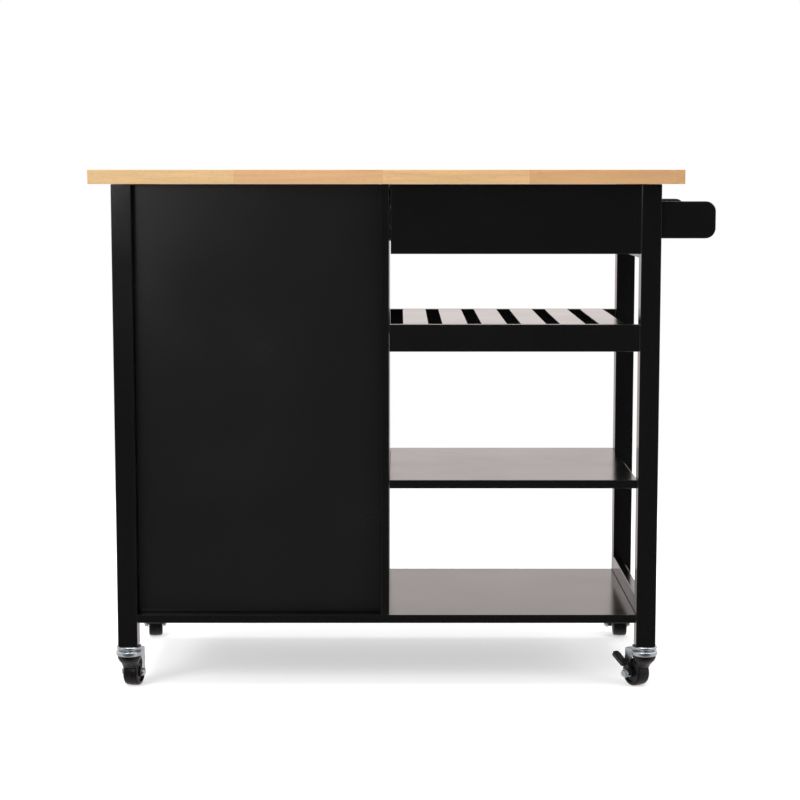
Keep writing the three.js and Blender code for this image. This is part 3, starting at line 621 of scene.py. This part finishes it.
def pick(piece, kind, test):
    """Selects in edit mode only the faces, edges or corners that pass the test, and stops if none does."""
    if piece.mode != "EDIT":
        take(piece)
        bpy.ops.object.mode_set(mode="EDIT")
    bpy.ops.mesh.select_mode(type=kind)
    bpy.ops.mesh.select_all(action="DESELECT")
    mesh = bmesh.from_edit_mesh(piece.data)
    for element in {"FACE": mesh.faces, "EDGE": mesh.edges, "VERT": mesh.verts}[kind]:
        if test(element):
            element.select_set(True)
    bmesh.update_edit_mesh(piece.data)
    picked_middle(piece)


def picked_middle(piece):
    chosen = [v.co for v in bmesh.from_edit_mesh(piece.data).verts if v.select]
    if not chosen:
        raise ValueError("nothing was picked on " + piece.name)
    low = Vector([min(c[i] for c in chosen) for i in range(3)])
    high = Vector([max(c[i] for c in chosen) for i in range(3)])
    return (low + high) / 2


def end_of(axis, side):
    """A test for the flat face at one end of a bar: side is 1 or -1 along the axis."""
    index = "XYZ".index(axis)
    return lambda face: face.normal[index] * side > 0.99


def pull(piece, axis, side, radius, steps):
    """Extrudes the end of a round bar step by step. Each step is (advance, new radius), in millimetres."""
    index = "XYZ".index(axis)
    places = [v.co[index] * side for v in (bmesh.from_edit_mesh(piece.data).verts
                                           if piece.mode == "EDIT" else piece.data.vertices)]
    last = max(places)
    flat_end = end_of(axis, side)
    pick(piece, "FACE", lambda f: flat_end(f) and f.calc_center_median()[index] * side > last - 0.01 * MM)
    for advance, new_radius in steps:
        move = Vector((0, 0, 0))
        move[index] = advance * side * MM
        bpy.ops.mesh.extrude_region_move(TRANSFORM_OT_translate={"value": move})
        scale = [new_radius / radius] * 3
        scale[index] = 1
        bpy.ops.transform.resize(value=scale, center_override=picked_middle(piece))
        radius = new_radius


def soften(piece, width, steps=2, angle=40):
    """A Bevel modifier on the sharp edges, applied."""
    take(piece)
    bevel = piece.modifiers.new("soft_edges", "BEVEL")
    bevel.width = width * MM
    bevel.segments = steps
    bevel.limit_method = "ANGLE"
    bevel.angle_limit = math.radians(angle)
    bpy.ops.object.modifier_apply(modifier=bevel.name)


def carve(piece, operation, *tools):
    """Joins the tools to the piece (UNION) or cuts them away (DIFFERENCE), then throws the tools away."""
    for tool in tools:
        take(piece)
        step = piece.modifiers.new("carve", "BOOLEAN")
        step.operation = operation
        step.object = tool
        step.solver = "EXACT"
        bpy.ops.object.modifier_apply(modifier=step.name)
        bpy.data.objects.remove(tool)


def clean(piece, angle=35):
    """Merges doubles, turns every face outwards and shades the gentle curves smooth."""
    take(piece)
    bpy.ops.object.mode_set(mode="EDIT")
    bpy.ops.mesh.select_all(action="SELECT")
    bpy.ops.mesh.remove_doubles(threshold=0.002 * MM)
    bpy.ops.mesh.normals_make_consistent(inside=False)
    set_aside()
    take(piece)
    bpy.ops.object.shade_smooth_by_angle(angle=math.radians(angle))


def ease(piece, width, steps, angle, smooth=35):
    """Cleans a joined or cut piece, softens its sharp edges, and cleans it again."""
    clean(piece)
    soften(piece, width, steps, angle)
    clean(piece, smooth)


def tell(piece):
    """Prints a piece's name and size."""
    print(piece.name + ":", [round(d / MM, 1) for d in piece.dimensions], "mm")


def duplicate(piece, name):
    """A copy with a mesh of its own."""
    copy = piece.copy()
    copy.data = piece.data.copy()
    copy.name = name
    bpy.context.scene.collection.objects.link(copy)
    return copy


def install(piece, body, material, *nodes):
    """Gives the finish, fixes the piece to its body, and hides the CAD nodes it replaces."""
    give_finish(piece, material)
    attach(piece, body)
    if nodes:
        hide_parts(*nodes)


def set_on_casters(model, label, body, material, node, corners=CORNERS):
    """Copies a caster piece from the origin to each corner, turned as that caster is turned."""
    for corner in corners:
        foot, turn = caster_place(corner)
        piece = duplicate(model, label + corner)
        piece.data.transform(Matrix.Translation(foot) @ Matrix.Rotation(turn, 4, "Z"))
        owner = body if body in frame["bodies"] else body + corner
        install(piece, owner, material, *([node + corner] if node else []))
    triangles = sum(len(p.vertices) - 2 for p in model.data.polygons)
    print(label + "*:", len(corners), "copies of", triangles, "triangles")
    bpy.data.objects.remove(model)


print("modelling helpers ready")

# %% [markdown]
# ## Caster wheels
# A 50 mm wheel is moulded in one piece from polypropylene: a broad tread with round shoulders, dished sides
# around a boss, and a bore for the axle. It starts as a cylinder lying on its side. The rim edges are
# bevelled into shoulders, the sides are inset and pushed in, the boss is pulled back out, and the two bore
# rings are bridged. A cut round the middle lets the tread be crowned a little, so that it rolls on its
# centre.

# %% Model the wheels
TRAIL = 23.5
WHEEL_RADIUS = 25
WHEEL_HALF = 13.5
TREAD_RADIUS = 24.4
SHOULDER = 4.5
DISH_STEPS = (              # each inset's width and depth, from the rim to the bore
    (1.6, 0), (0.8, -3.2), (1.0, -0.5), (7.0, 0.6), (0.8, 3.1), (0.9, 0), (0.6, -0.5), (3.5, 0))
AXLE_HOLE = 3.3
AXLE_AT = (TRAIL, WHEEL_RADIUS)
axle_middle = Vector((0, *AXLE_AT)) * MM

wheel = round_bar("wheel", "X", TREAD_RADIUS, -WHEEL_HALF, WHEEL_HALF, AXLE_AT, sides=72)
pick(wheel, "EDGE", lambda e: abs(e.verts[0].co.x - e.verts[1].co.x) < 0.01 * MM)
bpy.ops.mesh.bevel(offset=SHOULDER * MM, segments=6, profile=0.5)
pick(wheel, "FACE", lambda f: abs(f.normal.x) > 0.99
     and abs(abs(f.calc_center_median().x) - WHEEL_HALF * MM) < 0.01 * MM)
for thickness, depth in DISH_STEPS:
    bpy.ops.mesh.inset(thickness=thickness * MM, depth=depth * MM, use_individual=True)
bpy.ops.mesh.delete(type="FACE")
mesh = bmesh.from_edit_mesh(wheel.data)
for edge in mesh.edges:
    edge.select_set(edge.is_boundary)
bmesh.update_edit_mesh(wheel.data)
bpy.ops.mesh.bridge_edge_loops()
bpy.ops.mesh.select_all(action="SELECT")
bpy.ops.mesh.bisect(plane_co=axle_middle, plane_no=(1, 0, 0))
pick(wheel, "VERT", lambda v: abs(v.co.x) < 0.01 * MM and (v.co - axle_middle).length > 20 * MM)
crown = WHEEL_RADIUS / TREAD_RADIUS
bpy.ops.transform.resize(value=(1, crown, crown), center_override=axle_middle)
clean(wheel)
tell(wheel)
set_on_casters(wheel, "caster_tyre_", "caster_wheel_", wheel_plastic, "wheel_")

# %% [markdown]
# ## Flange, race and kingpin
# The fixed half of a caster is a pressed flange with a rolled rim, riveted to the fork by its kingpin. A
# ball race between the two leaves a narrow dark gap. A threaded stem above the flange screws into the leg.
# All of it is round, so it is one bar whose two ends are pulled out in steps.

# %% Model the flanges
FLANGE_DOWN = (             # each pull's reach and new radius: rim, race, kingpin and its riveted end
    (0, 18.2), (-0.8, 17.2), (0.8, 16.4), (2.6, 16.0), (0, 12.5), (-1.2, 11.5), (0, 4.0), (5.2, 4.0),
    (0, 7.0), (2.2, 7.0), (0.8, 5.4))
FLANGE_UP = ((0, 5.2), (0, 4.0), (34.5, 4.0), (0.8, 3.2))
mount = round_bar("mount", "Z", 22.5, 73, 78.7, (0, 0), sides=72)
soften(mount, 2.2, steps=5)
pull(mount, "Z", -1, 20.3, FLANGE_DOWN)
pull(mount, "Z", 1, 20.3, FLANGE_UP)
clean(mount, angle=30)
set_on_casters(mount, "caster_flange_", "cart_frame", zinc_steel, "caster_mount_")

# %% [markdown]
# ## Forks
# The turning half is pressed from one sheet: a round crown, a bridge that reaches back over the wheel, and
# two arms that narrow to a waist and end round about the axle. The crown is a cylinder hollowed from below.
# Each arm is a thin block cut across at several heights, and each cut is then pushed to the arm's outline.

# %% Model the forks
ARM_INNER = 14.7
ARM_OUTER = 16.5
ARM_OUTLINE = (             # height, front edge, back edge
    (17.5, 16.0, 31.0), (25.0, 16.0, 31.2), (30.0, 18.0, 33.0), (36.0, 20.8, 35.0), (42.0, 21.5, 36.0),
    (48.0, 20.6, 36.2), (53.0, 17.6, 35.8), (57.0, 13.8, 35.2), (61.0, 9.4, 34.8), (67.5, 9.0, 34.2))


BLANK_FRONT, BLANK_BACK = 9, 36
ARM_ROUND = 7.2


def fork_arm(side):
    low, high = sorted((side * ARM_INNER, side * ARM_OUTER))
    arm = block("arm", (low, BLANK_FRONT, ARM_OUTLINE[0][0]), (high, BLANK_BACK, ARM_OUTLINE[-1][0]))
    for height, _, _ in ARM_OUTLINE[1:-1]:
        pick(arm, "FACE", lambda f: True)
        bpy.ops.mesh.bisect(plane_co=(0, 0, height * MM), plane_no=(0, 0, 1))
    for height, front, back in ARM_OUTLINE:
        for edge, old in ((front, BLANK_FRONT), (back, BLANK_BACK)):
            pick(arm, "VERT", lambda v: abs(v.co.z - height * MM) < 0.01 * MM
                 and abs(v.co.y - old * MM) < 0.01 * MM)
            bpy.ops.transform.translate(value=(0, (edge - old) * MM, 0))
    pick(arm, "EDGE", lambda e: max(v.co.z for v in e.verts) < (ARM_OUTLINE[0][0] + 0.01) * MM
         and abs(e.verts[0].co.x - e.verts[1].co.x) > 1 * MM)
    bpy.ops.mesh.bevel(offset=ARM_ROUND * MM, segments=8)
    set_aside()
    return arm


fork = round_bar("fork", "Z", 23, 61, 70, (0, 0), sides=72)
soften(fork, 2.4, steps=4)
pull(fork, "Z", -1, 20.6, ((0, 20.4), (-1.6, 20.2), (-2.6, 17.5), (0, 12.0), (0.8, 11.0), (0, 9.0)))
bridge = block("bridge", (-ARM_OUTER, 8, 66.4), (ARM_OUTER, 34.2, 70))
back_web = block("back_web", (-ARM_OUTER, 33.2, 54), (ARM_OUTER, 35.0, 67))
kingpin_hole = round_bar("kingpin_hole", "Z", 4.6, 50, 80, (0, 0), sides=32)
axle_hole = round_bar("axle_hole", "X", AXLE_HOLE, -30, 30, AXLE_AT, sides=32)
carve(fork, "UNION", bridge, fork_arm(1), fork_arm(-1), back_web)
carve(fork, "DIFFERENCE", kingpin_hole, axle_hole)
ease(fork, 0.35, 2, 55)
tell(fork)
set_on_casters(fork, "caster_bracket_", "caster_", zinc_steel, "caster_fork_")

# %% [markdown]
# ## Wheel hoods
# Under the crown a moulded hood guards the top and front of the wheel. It is as wide as the crown at the
# top and narrows to the wheel's own width below. A round bar is pulled down in rings, each narrower and
# further back, and a cylinder a little larger than the wheel then cuts the room for it, with two slots for
# the fork's arms.

# %% Model the hoods
HOOD_RINGS = (              # drop, half width, front, back
    (2.6, 20.8, -20.6, 20.5), (3.0, 20.3, -19.8, 20.3), (3.0, 19.2, -18.0, 20.0), (3.4, 17.4, -14.6, 19.6),
    (3.6, 15.6, -10.4, 18.0), (3.8, 14.4, -6.6, 15.0), (3.8, 13.8, -3.8, 12.0))
hood = round_bar("hood", "Z", 20.2, 60.4, 61.6, (0, 0), sides=72)
pick(hood, "FACE", end_of("Z", -1))
half, front, back = 20.2, -20.2, 20.2
for drop, new_half, new_front, new_back in HOOD_RINGS:
    shift = ((new_front + new_back) - (front + back)) / 2
    bpy.ops.mesh.extrude_region_move(TRANSFORM_OT_translate={"value": (0, shift * MM, -drop * MM)})
    scale = (new_half / half, (new_back - new_front) / (back - front), 1)
    bpy.ops.transform.resize(value=scale, center_override=picked_middle(hood))
    half, front, back = new_half, new_front, new_back
WHEEL_ROOM = 26.6
wheel_room = round_bar("wheel_room", "X", WHEEL_ROOM, -40, 40, AXLE_AT, sides=96)
slots = [block("slot", (min(s * 14.4, s * 40), 8.6, 20), (max(s * 14.4, s * 40), 40, 70)) for s in (1, -1)]
carve(hood, "DIFFERENCE", wheel_room, *slots)
ease(hood, 0.5, 2, 50, smooth=40)
tell(hood)
set_on_casters(hood, "caster_hood_", "caster_", hood_plastic, None)

# %% [markdown]
# ## Axles
# Each wheel turns on a 6 mm bolt with a low domed head on one side and a hexagon nut with a washer on the
# other. A braked caster needs a longer bolt, because the pedal's hub sits under its nut, and a broad thick
# washer.

# %% Model the axles
HEAD_REACH = 16.8


def axle(nut_at, label, corners, washer_radius, washer_width):
    bolt = round_bar("bolt", "X", 3, -nut_at - 5.6, HEAD_REACH, AXLE_AT, sides=32)
    pull(bolt, "X", 1, 3, ((0, 6.4), (1.6, 6.5), (1.2, 6.2), (1.0, 5.2), (0.6, 3.6)))
    pull(bolt, "X", -1, 3, ((0.6, 2.3),))
    clean(bolt)
    set_on_casters(bolt, "caster_bolt_" + label, "caster_", zinc_steel, "caster_axle_", corners)
    nut = round_bar("nut", "X", 6.5, -nut_at - 4.9, -nut_at - 1.1, AXLE_AT, sides=6)
    pull(nut, "X", -1, 6.5, ((0.5, 5.4),))
    washer = round_bar("washer", "X", washer_radius, -nut_at - 1.2, -nut_at - 1.2 + washer_width, AXLE_AT)
    carve(nut, "UNION", washer)
    carve(nut, "DIFFERENCE", round_bar("thread", "X", 3.05, -60, 60, AXLE_AT, sides=32))
    ease(nut, 0.3, 2, 40)
    set_on_casters(nut, "caster_nut_" + label, "caster_", zinc_steel, None, corners)


UNBRAKED = tuple(c for c in CORNERS if c not in BRAKED)
axle(HEAD_REACH, "", UNBRAKED, 7.0, 1.2)
axle(HEAD_REACH + 8.3, "", BRAKED, 8.0, 3.6)

# %% [markdown]
# ## Brake pedals
# The brake is a moulded nylon pedal: a round hub on the axle, a neck that rises from it, and a broad tread
# that points back and up, with lengthwise ribs for the shoe to grip. The solids are joined, and their edges
# softened together, as a mould would have them.

# %% Model the brake pedals
PEDAL_HUB = 6.2
PEDAL_IN = -16.8
PEDAL_OUT = -22.3
PEDAL_BROAD = -31.0
PEDAL_PITCH = math.radians(28)
RIBS_AT = (-28.0, -25.2, -22.4, -19.6)
pedal_root = Vector((0, TRAIL + 5.5, WHEEL_RADIUS + 17.5)) * MM
pedal = round_bar("pedal", "X", PEDAL_HUB, PEDAL_OUT, PEDAL_IN, AXLE_AT, sides=48)
neck = block("neck", (PEDAL_OUT, TRAIL - 6.0, WHEEL_RADIUS), (PEDAL_IN, TRAIL + 6.4, WHEEL_RADIUS + 20.5))
pick(neck, "EDGE", lambda e: min(v.co.z for v in e.verts) > (WHEEL_RADIUS + 20) * MM
     and max(v.co.y for v in e.verts) < TRAIL * MM)
bpy.ops.mesh.bevel(offset=9 * MM, segments=6)
tread = block("tread", (PEDAL_BROAD, TRAIL + 1.5, WHEEL_RADIUS + 14.5),
              (PEDAL_IN, TRAIL + 36.5, WHEEL_RADIUS + 20.5))
pick(tread, "EDGE", lambda e: min(v.co.y for v in e.verts) > (TRAIL + 36) * MM
     and abs(e.verts[0].co.z - e.verts[1].co.z) > 1 * MM)
bpy.ops.mesh.bevel(offset=5 * MM, segments=6)
set_aside()
ribs = [block("rib", (x - 0.7, TRAIL + 12, WHEEL_RADIUS + 19.5), (x + 0.7, TRAIL + 34, WHEEL_RADIUS + 21.6))
        for x in RIBS_AT]
carve(tread, "UNION", *ribs)
tread.data.transform(Matrix.Translation(pedal_root) @ Matrix.Rotation(PEDAL_PITCH, 4, "X")
                     @ Matrix.Translation(-pedal_root))
carve(pedal, "UNION", neck, tread)
carve(pedal, "DIFFERENCE", round_bar("bore", "X", AXLE_HOLE, -60, 0, AXLE_AT, sides=32))
ease(pedal, 0.7, 3, 50, smooth=40)
tell(pedal)
set_on_casters(pedal, "brake_pedal_", "brake_", lever_plastic, "brake_lever_", BRAKED)

# %% [markdown]
# ## Knobs
# A turned knob has a flared foot, a slim neck, and a broad head with a rounded rim and a face dished very
# slightly. It is one round bar whose front end is pulled out in steps, at the place where the CAD has the
# knob. Each knob is fixed from behind by a countersunk screw, which is seen when the drawer or the door is
# open.

# %% Model the knobs
KNOB_STEPS = (              # each pull's reach and new radius, from the foot to the face
    (0.6, 7.6), (0.9, 6.7), (1.5, 6.1), (6.5, 5.8), (2.0, 6.6), (0.7, 9.5), (0.5, 12.0), (1.2, 13.4),
    (2.6, 14.0), (3.0, 13.9), (1.7, 13.2), (0.9, 12.0), (0.3, 10.6), (-0.3, 9.0), (-0.2, 5.0))


def middle_of(node):
    low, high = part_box(node)
    return (low + high) / 2 / MM


for node, body in (("drawer_knob", "drawer"), ("door_knob", "door")):
    middle = middle_of(node)
    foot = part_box(node)[0].y / MM
    knob = round_bar("turned_" + node, "Y", 8.0, foot, foot + 0.5, (middle.x, middle.z), sides=64)
    pull(knob, "Y", 1, 8.0, KNOB_STEPS)
    clean(knob, angle=50)
    install(knob, body, satin_nickel, node)
    tell(knob)

# %% [markdown]
# ## Towel rail
# A round bar is held between two boards with rounded outer corners. The bar's ends sit in blind sockets,
# and the boards' edges are eased by a 1.5 mm round. Each board is a block: its outer edges are bevelled
# into corners first, then a socket is cut, and then every sharp edge is softened.

# %% Model the towel rail
BRACKET_CORNER = 18
bar_low, bar_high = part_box("towel_bar")
bar_middle = middle_of("towel_bar")
for node in ("towel_bracket_rear", "towel_bracket_front"):
    low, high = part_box(node)
    bracket = block("rounded_" + node, low / MM, high / MM)
    pick(bracket, "EDGE", lambda e: min(v.co.x for v in e.verts) > high.x - 1 * MM
         and abs(e.verts[0].co.y - e.verts[1].co.y) > 1 * MM)
    bpy.ops.mesh.bevel(offset=BRACKET_CORNER * MM, segments=12)
    set_aside()
    carve(bracket, "DIFFERENCE",
          round_bar("socket", "Y", 11.3, bar_low.y / MM - 0.3, bar_high.y / MM + 0.3,
                    (bar_middle.x, bar_middle.z)))
    ease(bracket, 1.5, 3, 60)
    install(bracket, "cart_frame", lacquer_lengthwise, node)
    tell(bracket)
bar = round_bar("turned_towel_bar", "Y", 11, bar_low.y / MM + 1, bar_high.y / MM - 1,
                (bar_middle.x, bar_middle.z), sides=64)
pull(bar, "Y", 1, 11, ((1, 10),))
pull(bar, "Y", -1, 11, ((1, 10),))
clean(bar)
install(bar, "cart_frame", lacquer_crosswise, "towel_bar")
tell(bar)

# %% [markdown]
# ## Door frame
# The door is framed like any cupboard door: two upright stiles run its full height, and two rails fit
# between them with a hairline joint. All four hold the flat panel in a rebate cut from behind. Four boards
# replace the CAD's one-piece frame, so that the joints show and the grain turns the right way.

# %% Model the door frame
STILE = 55
REBATE = 8
REBATE_DEPTH = 6.3
JOINT = 0.15
door_low, door_high = box_mm("door_frame")
panel_low = Vector((door_low.x + STILE - REBATE, door_low.y - 1, door_low.z + STILE - REBATE))
panel_high = Vector((door_high.x - STILE + REBATE, door_low.y + REBATE_DEPTH, door_high.z - STILE + REBATE))
FRAME_BOARDS = {
    "door_stile_left": ((door_low.x, door_low.z), (door_low.x + STILE, door_high.z), lacquer_upright),
    "door_stile_right": ((door_high.x - STILE, door_low.z), (door_high.x, door_high.z), lacquer_upright),
    "door_rail_bottom": ((door_low.x + STILE + JOINT, door_low.z),
                         (door_high.x - STILE - JOINT, door_low.z + STILE), lacquer_lengthwise),
    "door_rail_top": ((door_low.x + STILE + JOINT, door_high.z - STILE),
                      (door_high.x - STILE - JOINT, door_high.z), lacquer_lengthwise),
}
for name, (low, high, material) in FRAME_BOARDS.items():
    wood = block(name, (low[0], door_low.y, low[1]), (high[0], door_high.y, high[1]))
    carve(wood, "DIFFERENCE", block("rebate", panel_low, panel_high))
    ease(wood, 1.0, 3, 60)
    install(wood, "door", material, "door_frame")
print("door frame of", len(FRAME_BOARDS), "boards")

# %% [markdown]
# ## Screws
# Countersunk screws with a cross recess hold the hinge leaves, the drawer runners and the knobs. One screw
# is modelled: a cylinder pulled out into its cone and slightly domed head, with a cross cut into it. It is
# then copied to every place, turned to face out of its surface.

# %% Model the screws
SCREW_HEAD = 2.9
screw = round_bar("screw", "Z", 1.2, -6, -1.7, (0, 0), sides=32)
pull(screw, "Z", 1, 1.2, ((1.5, SCREW_HEAD - 0.2), (0.2, SCREW_HEAD), (0.15, 2.4), (0.1, 1.4)))
recess = [block("recess", (-1.5, -0.32, -0.5), (1.5, 0.32, 2)),
          block("recess", (-0.32, -1.5, -0.5), (0.32, 1.5, 2))]
carve(screw, "DIFFERENCE", *recess)
clean(screw)
FACING = {"+X": ("Y", math.pi / 2), "-X": ("Y", -math.pi / 2), "-Y": ("X", math.pi / 2)}
LEAF_FACE = 1.05            # the hinge leaf's outer face, out from the door's edge
LEAF_SCREW = (6.0, 8)       # in from the leaf's edge, and from its ends
RUNNER_SCREWS = (-130, 0, 130)


def drive_screw(name, place, facing, body):
    """A screw whose head lies at the place, in millimetres, and looks along the facing direction."""
    axis, angle = FACING[facing]
    piece = duplicate(screw, name)
    piece.data.transform(Matrix.Translation(Vector(place) * MM) @ Matrix.Rotation(angle, 4, axis))
    install(piece, body, zinc_steel)


for hinge in ("hinge_top", "hinge_bottom"):
    low, high = box_mm(hinge + "_door_leaf")
    for index, height in enumerate((low.z + LEAF_SCREW[1], high.z - LEAF_SCREW[1])):
        drive_screw(hinge + "_screw_" + str(index + 1),
                    (door_low.x - LEAF_FACE, low.y + LEAF_SCREW[0], height), "-X", "door")
drawer_low = box_mm("drawer_front")[0]
for side, inside in (("left", -1), ("right", 1)):
    low, high = box_mm("drawer_side_" + side)
    inner = high.x if inside < 0 else low.x
    for index, along in enumerate(RUNNER_SCREWS):
        drive_screw("runner_screw_" + side + "_" + str(index + 1),
                    (inner, along, (low.z + high.z) / 2 + 4), "+X" if inside < 0 else "-X", "drawer")
for node, body in (("drawer_knob", "drawer"), ("door_knob", "door")):
    middle = middle_of(node)
    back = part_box("drawer_front")[0].y / MM     # the door's back lies in the same plane
    drive_screw(node + "_screw", (middle.x, back - 0.05, middle.z), "-Y", body)
bpy.data.objects.remove(screw)
print("screws placed")

# %% [markdown]
# ## Screw plugs in the leg
# The towel rail's near board is screwed on through the leg from its inner side, and two pin holes in the
# leg's rear face, where the screws are pinned, are stopped with tiny black plugs. A plug is a short bar
# with a crown.

# %% Model the plugs
leg_low, leg_high = box_mm("leg_rear_right")
for index, (inwards, down) in enumerate(((3.4, 34), (6.2, 47))):
    plug = round_bar("leg_plug_" + str(index + 1), "Y", 1.4, leg_low.y - 0.05, leg_low.y + 3,
                     (leg_low.x + inwards, leg_high.z - down), sides=24)
    pull(plug, "Y", -1, 1.4, ((0.05, 1.2), (0.04, 0.8)))
    clean(plug)
    install(plug, "cart_frame", hood_plastic)
print("2 plugs in the rear right leg")

# %% [markdown]
# ## Shelf pins and the door's catch
# The loose inner shelf lies on four steel pins, each a short peg with a flat spoon under the shelf. A
# magnet in a black case under the top of the bay holds the door shut against a small steel plate on the
# door's back.

# %% Model the pins and the catch
PIN_INSET = 50
shelf_low, shelf_high = box_mm("inner_shelf")
for side, wall, inward in (("left", shelf_low.x, 1), ("right", shelf_high.x, -1)):
    for label, at in (("rear", shelf_low.y + PIN_INSET), ("front", shelf_high.y - PIN_INSET)):
        peg_ends = sorted((wall - inward * 1.2, wall + inward * 9))
        pin = round_bar("shelf_pin_" + side + "_" + label, "X", 2.5, *peg_ends,
                        (at, shelf_low.z - 2.6), sides=32)
        spoon_x = sorted((wall + inward * 1.0, wall + inward * 10))
        spoon = block("spoon", (spoon_x[0], at - 5, shelf_low.z - 1.3),
                      (spoon_x[1], at + 5, shelf_low.z - 0.1))
        carve(pin, "UNION", spoon)
        ease(pin, 0.3, 2, 50)
        install(pin, "cart_frame", zinc_steel)
print("4 shelf pins under the shelf at", round(shelf_low.z), "mm")
panel_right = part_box("divider_panel")[0].x / MM
CATCH_HEIGHT = 640
case = block("catch_case", (panel_right - 14, door_low.y - 34, CATCH_HEIGHT - 9),
             (panel_right - 0.3, door_low.y - 5.0, CATCH_HEIGHT + 9))
magnet = block("catch_magnet", (panel_right - 11.5, door_low.y - 8, CATCH_HEIGHT - 6.5),
               (panel_right - 3, door_low.y - 3.6, CATCH_HEIGHT + 6.5))
carve(case, "DIFFERENCE", duplicate(magnet, "pocket"))
for piece, body, material in ((case, "cart_frame", lever_plastic), (magnet, "cart_frame", zinc_steel)):
    ease(piece, 0.5, 2, 50)
    install(piece, body, material)
plate = block("catch_plate", (panel_right - 15, door_low.y - 1.6, CATCH_HEIGHT - 9),
              (panel_right - 5, door_low.y - 0.1, CATCH_HEIGHT + 9))
soften(plate, 0.4, steps=2, angle=50)
clean(plate)
install(plate, "door", zinc_steel)
print("catch at", CATCH_HEIGHT, "mm")

# %% [markdown]
# ## Drawer stops
# Two thin nylon strips are stuck to the divider just behind the drawer front, above and below the runner.
# They stop the drawer softly, keep dust out, and close the gap beside the drawer, so that no light shows
# through it.

# %% Model the drawer stops
runner_low, runner_high = box_mm("runner_left_fixed")
divider_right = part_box("divider_panel")[1].x / MM
STOP_THICKNESS = 1.9
for label, low_z, high_z in (("lower", drawer_low.z + 0.3, runner_low.z - 0.4),
                             ("upper", runner_high.z + 0.4, worktop_low.z / MM - 0.6)):
    stop = block("drawer_stop_" + label, (divider_right + 0.1, drawer_low.y - 16, low_z),
                 (divider_right + 0.1 + STOP_THICKNESS, drawer_low.y - 0.8, high_z))
    ease(stop, 0.4, 3, 50)
    install(stop, "cart_frame", lever_plastic)
    tell(stop)
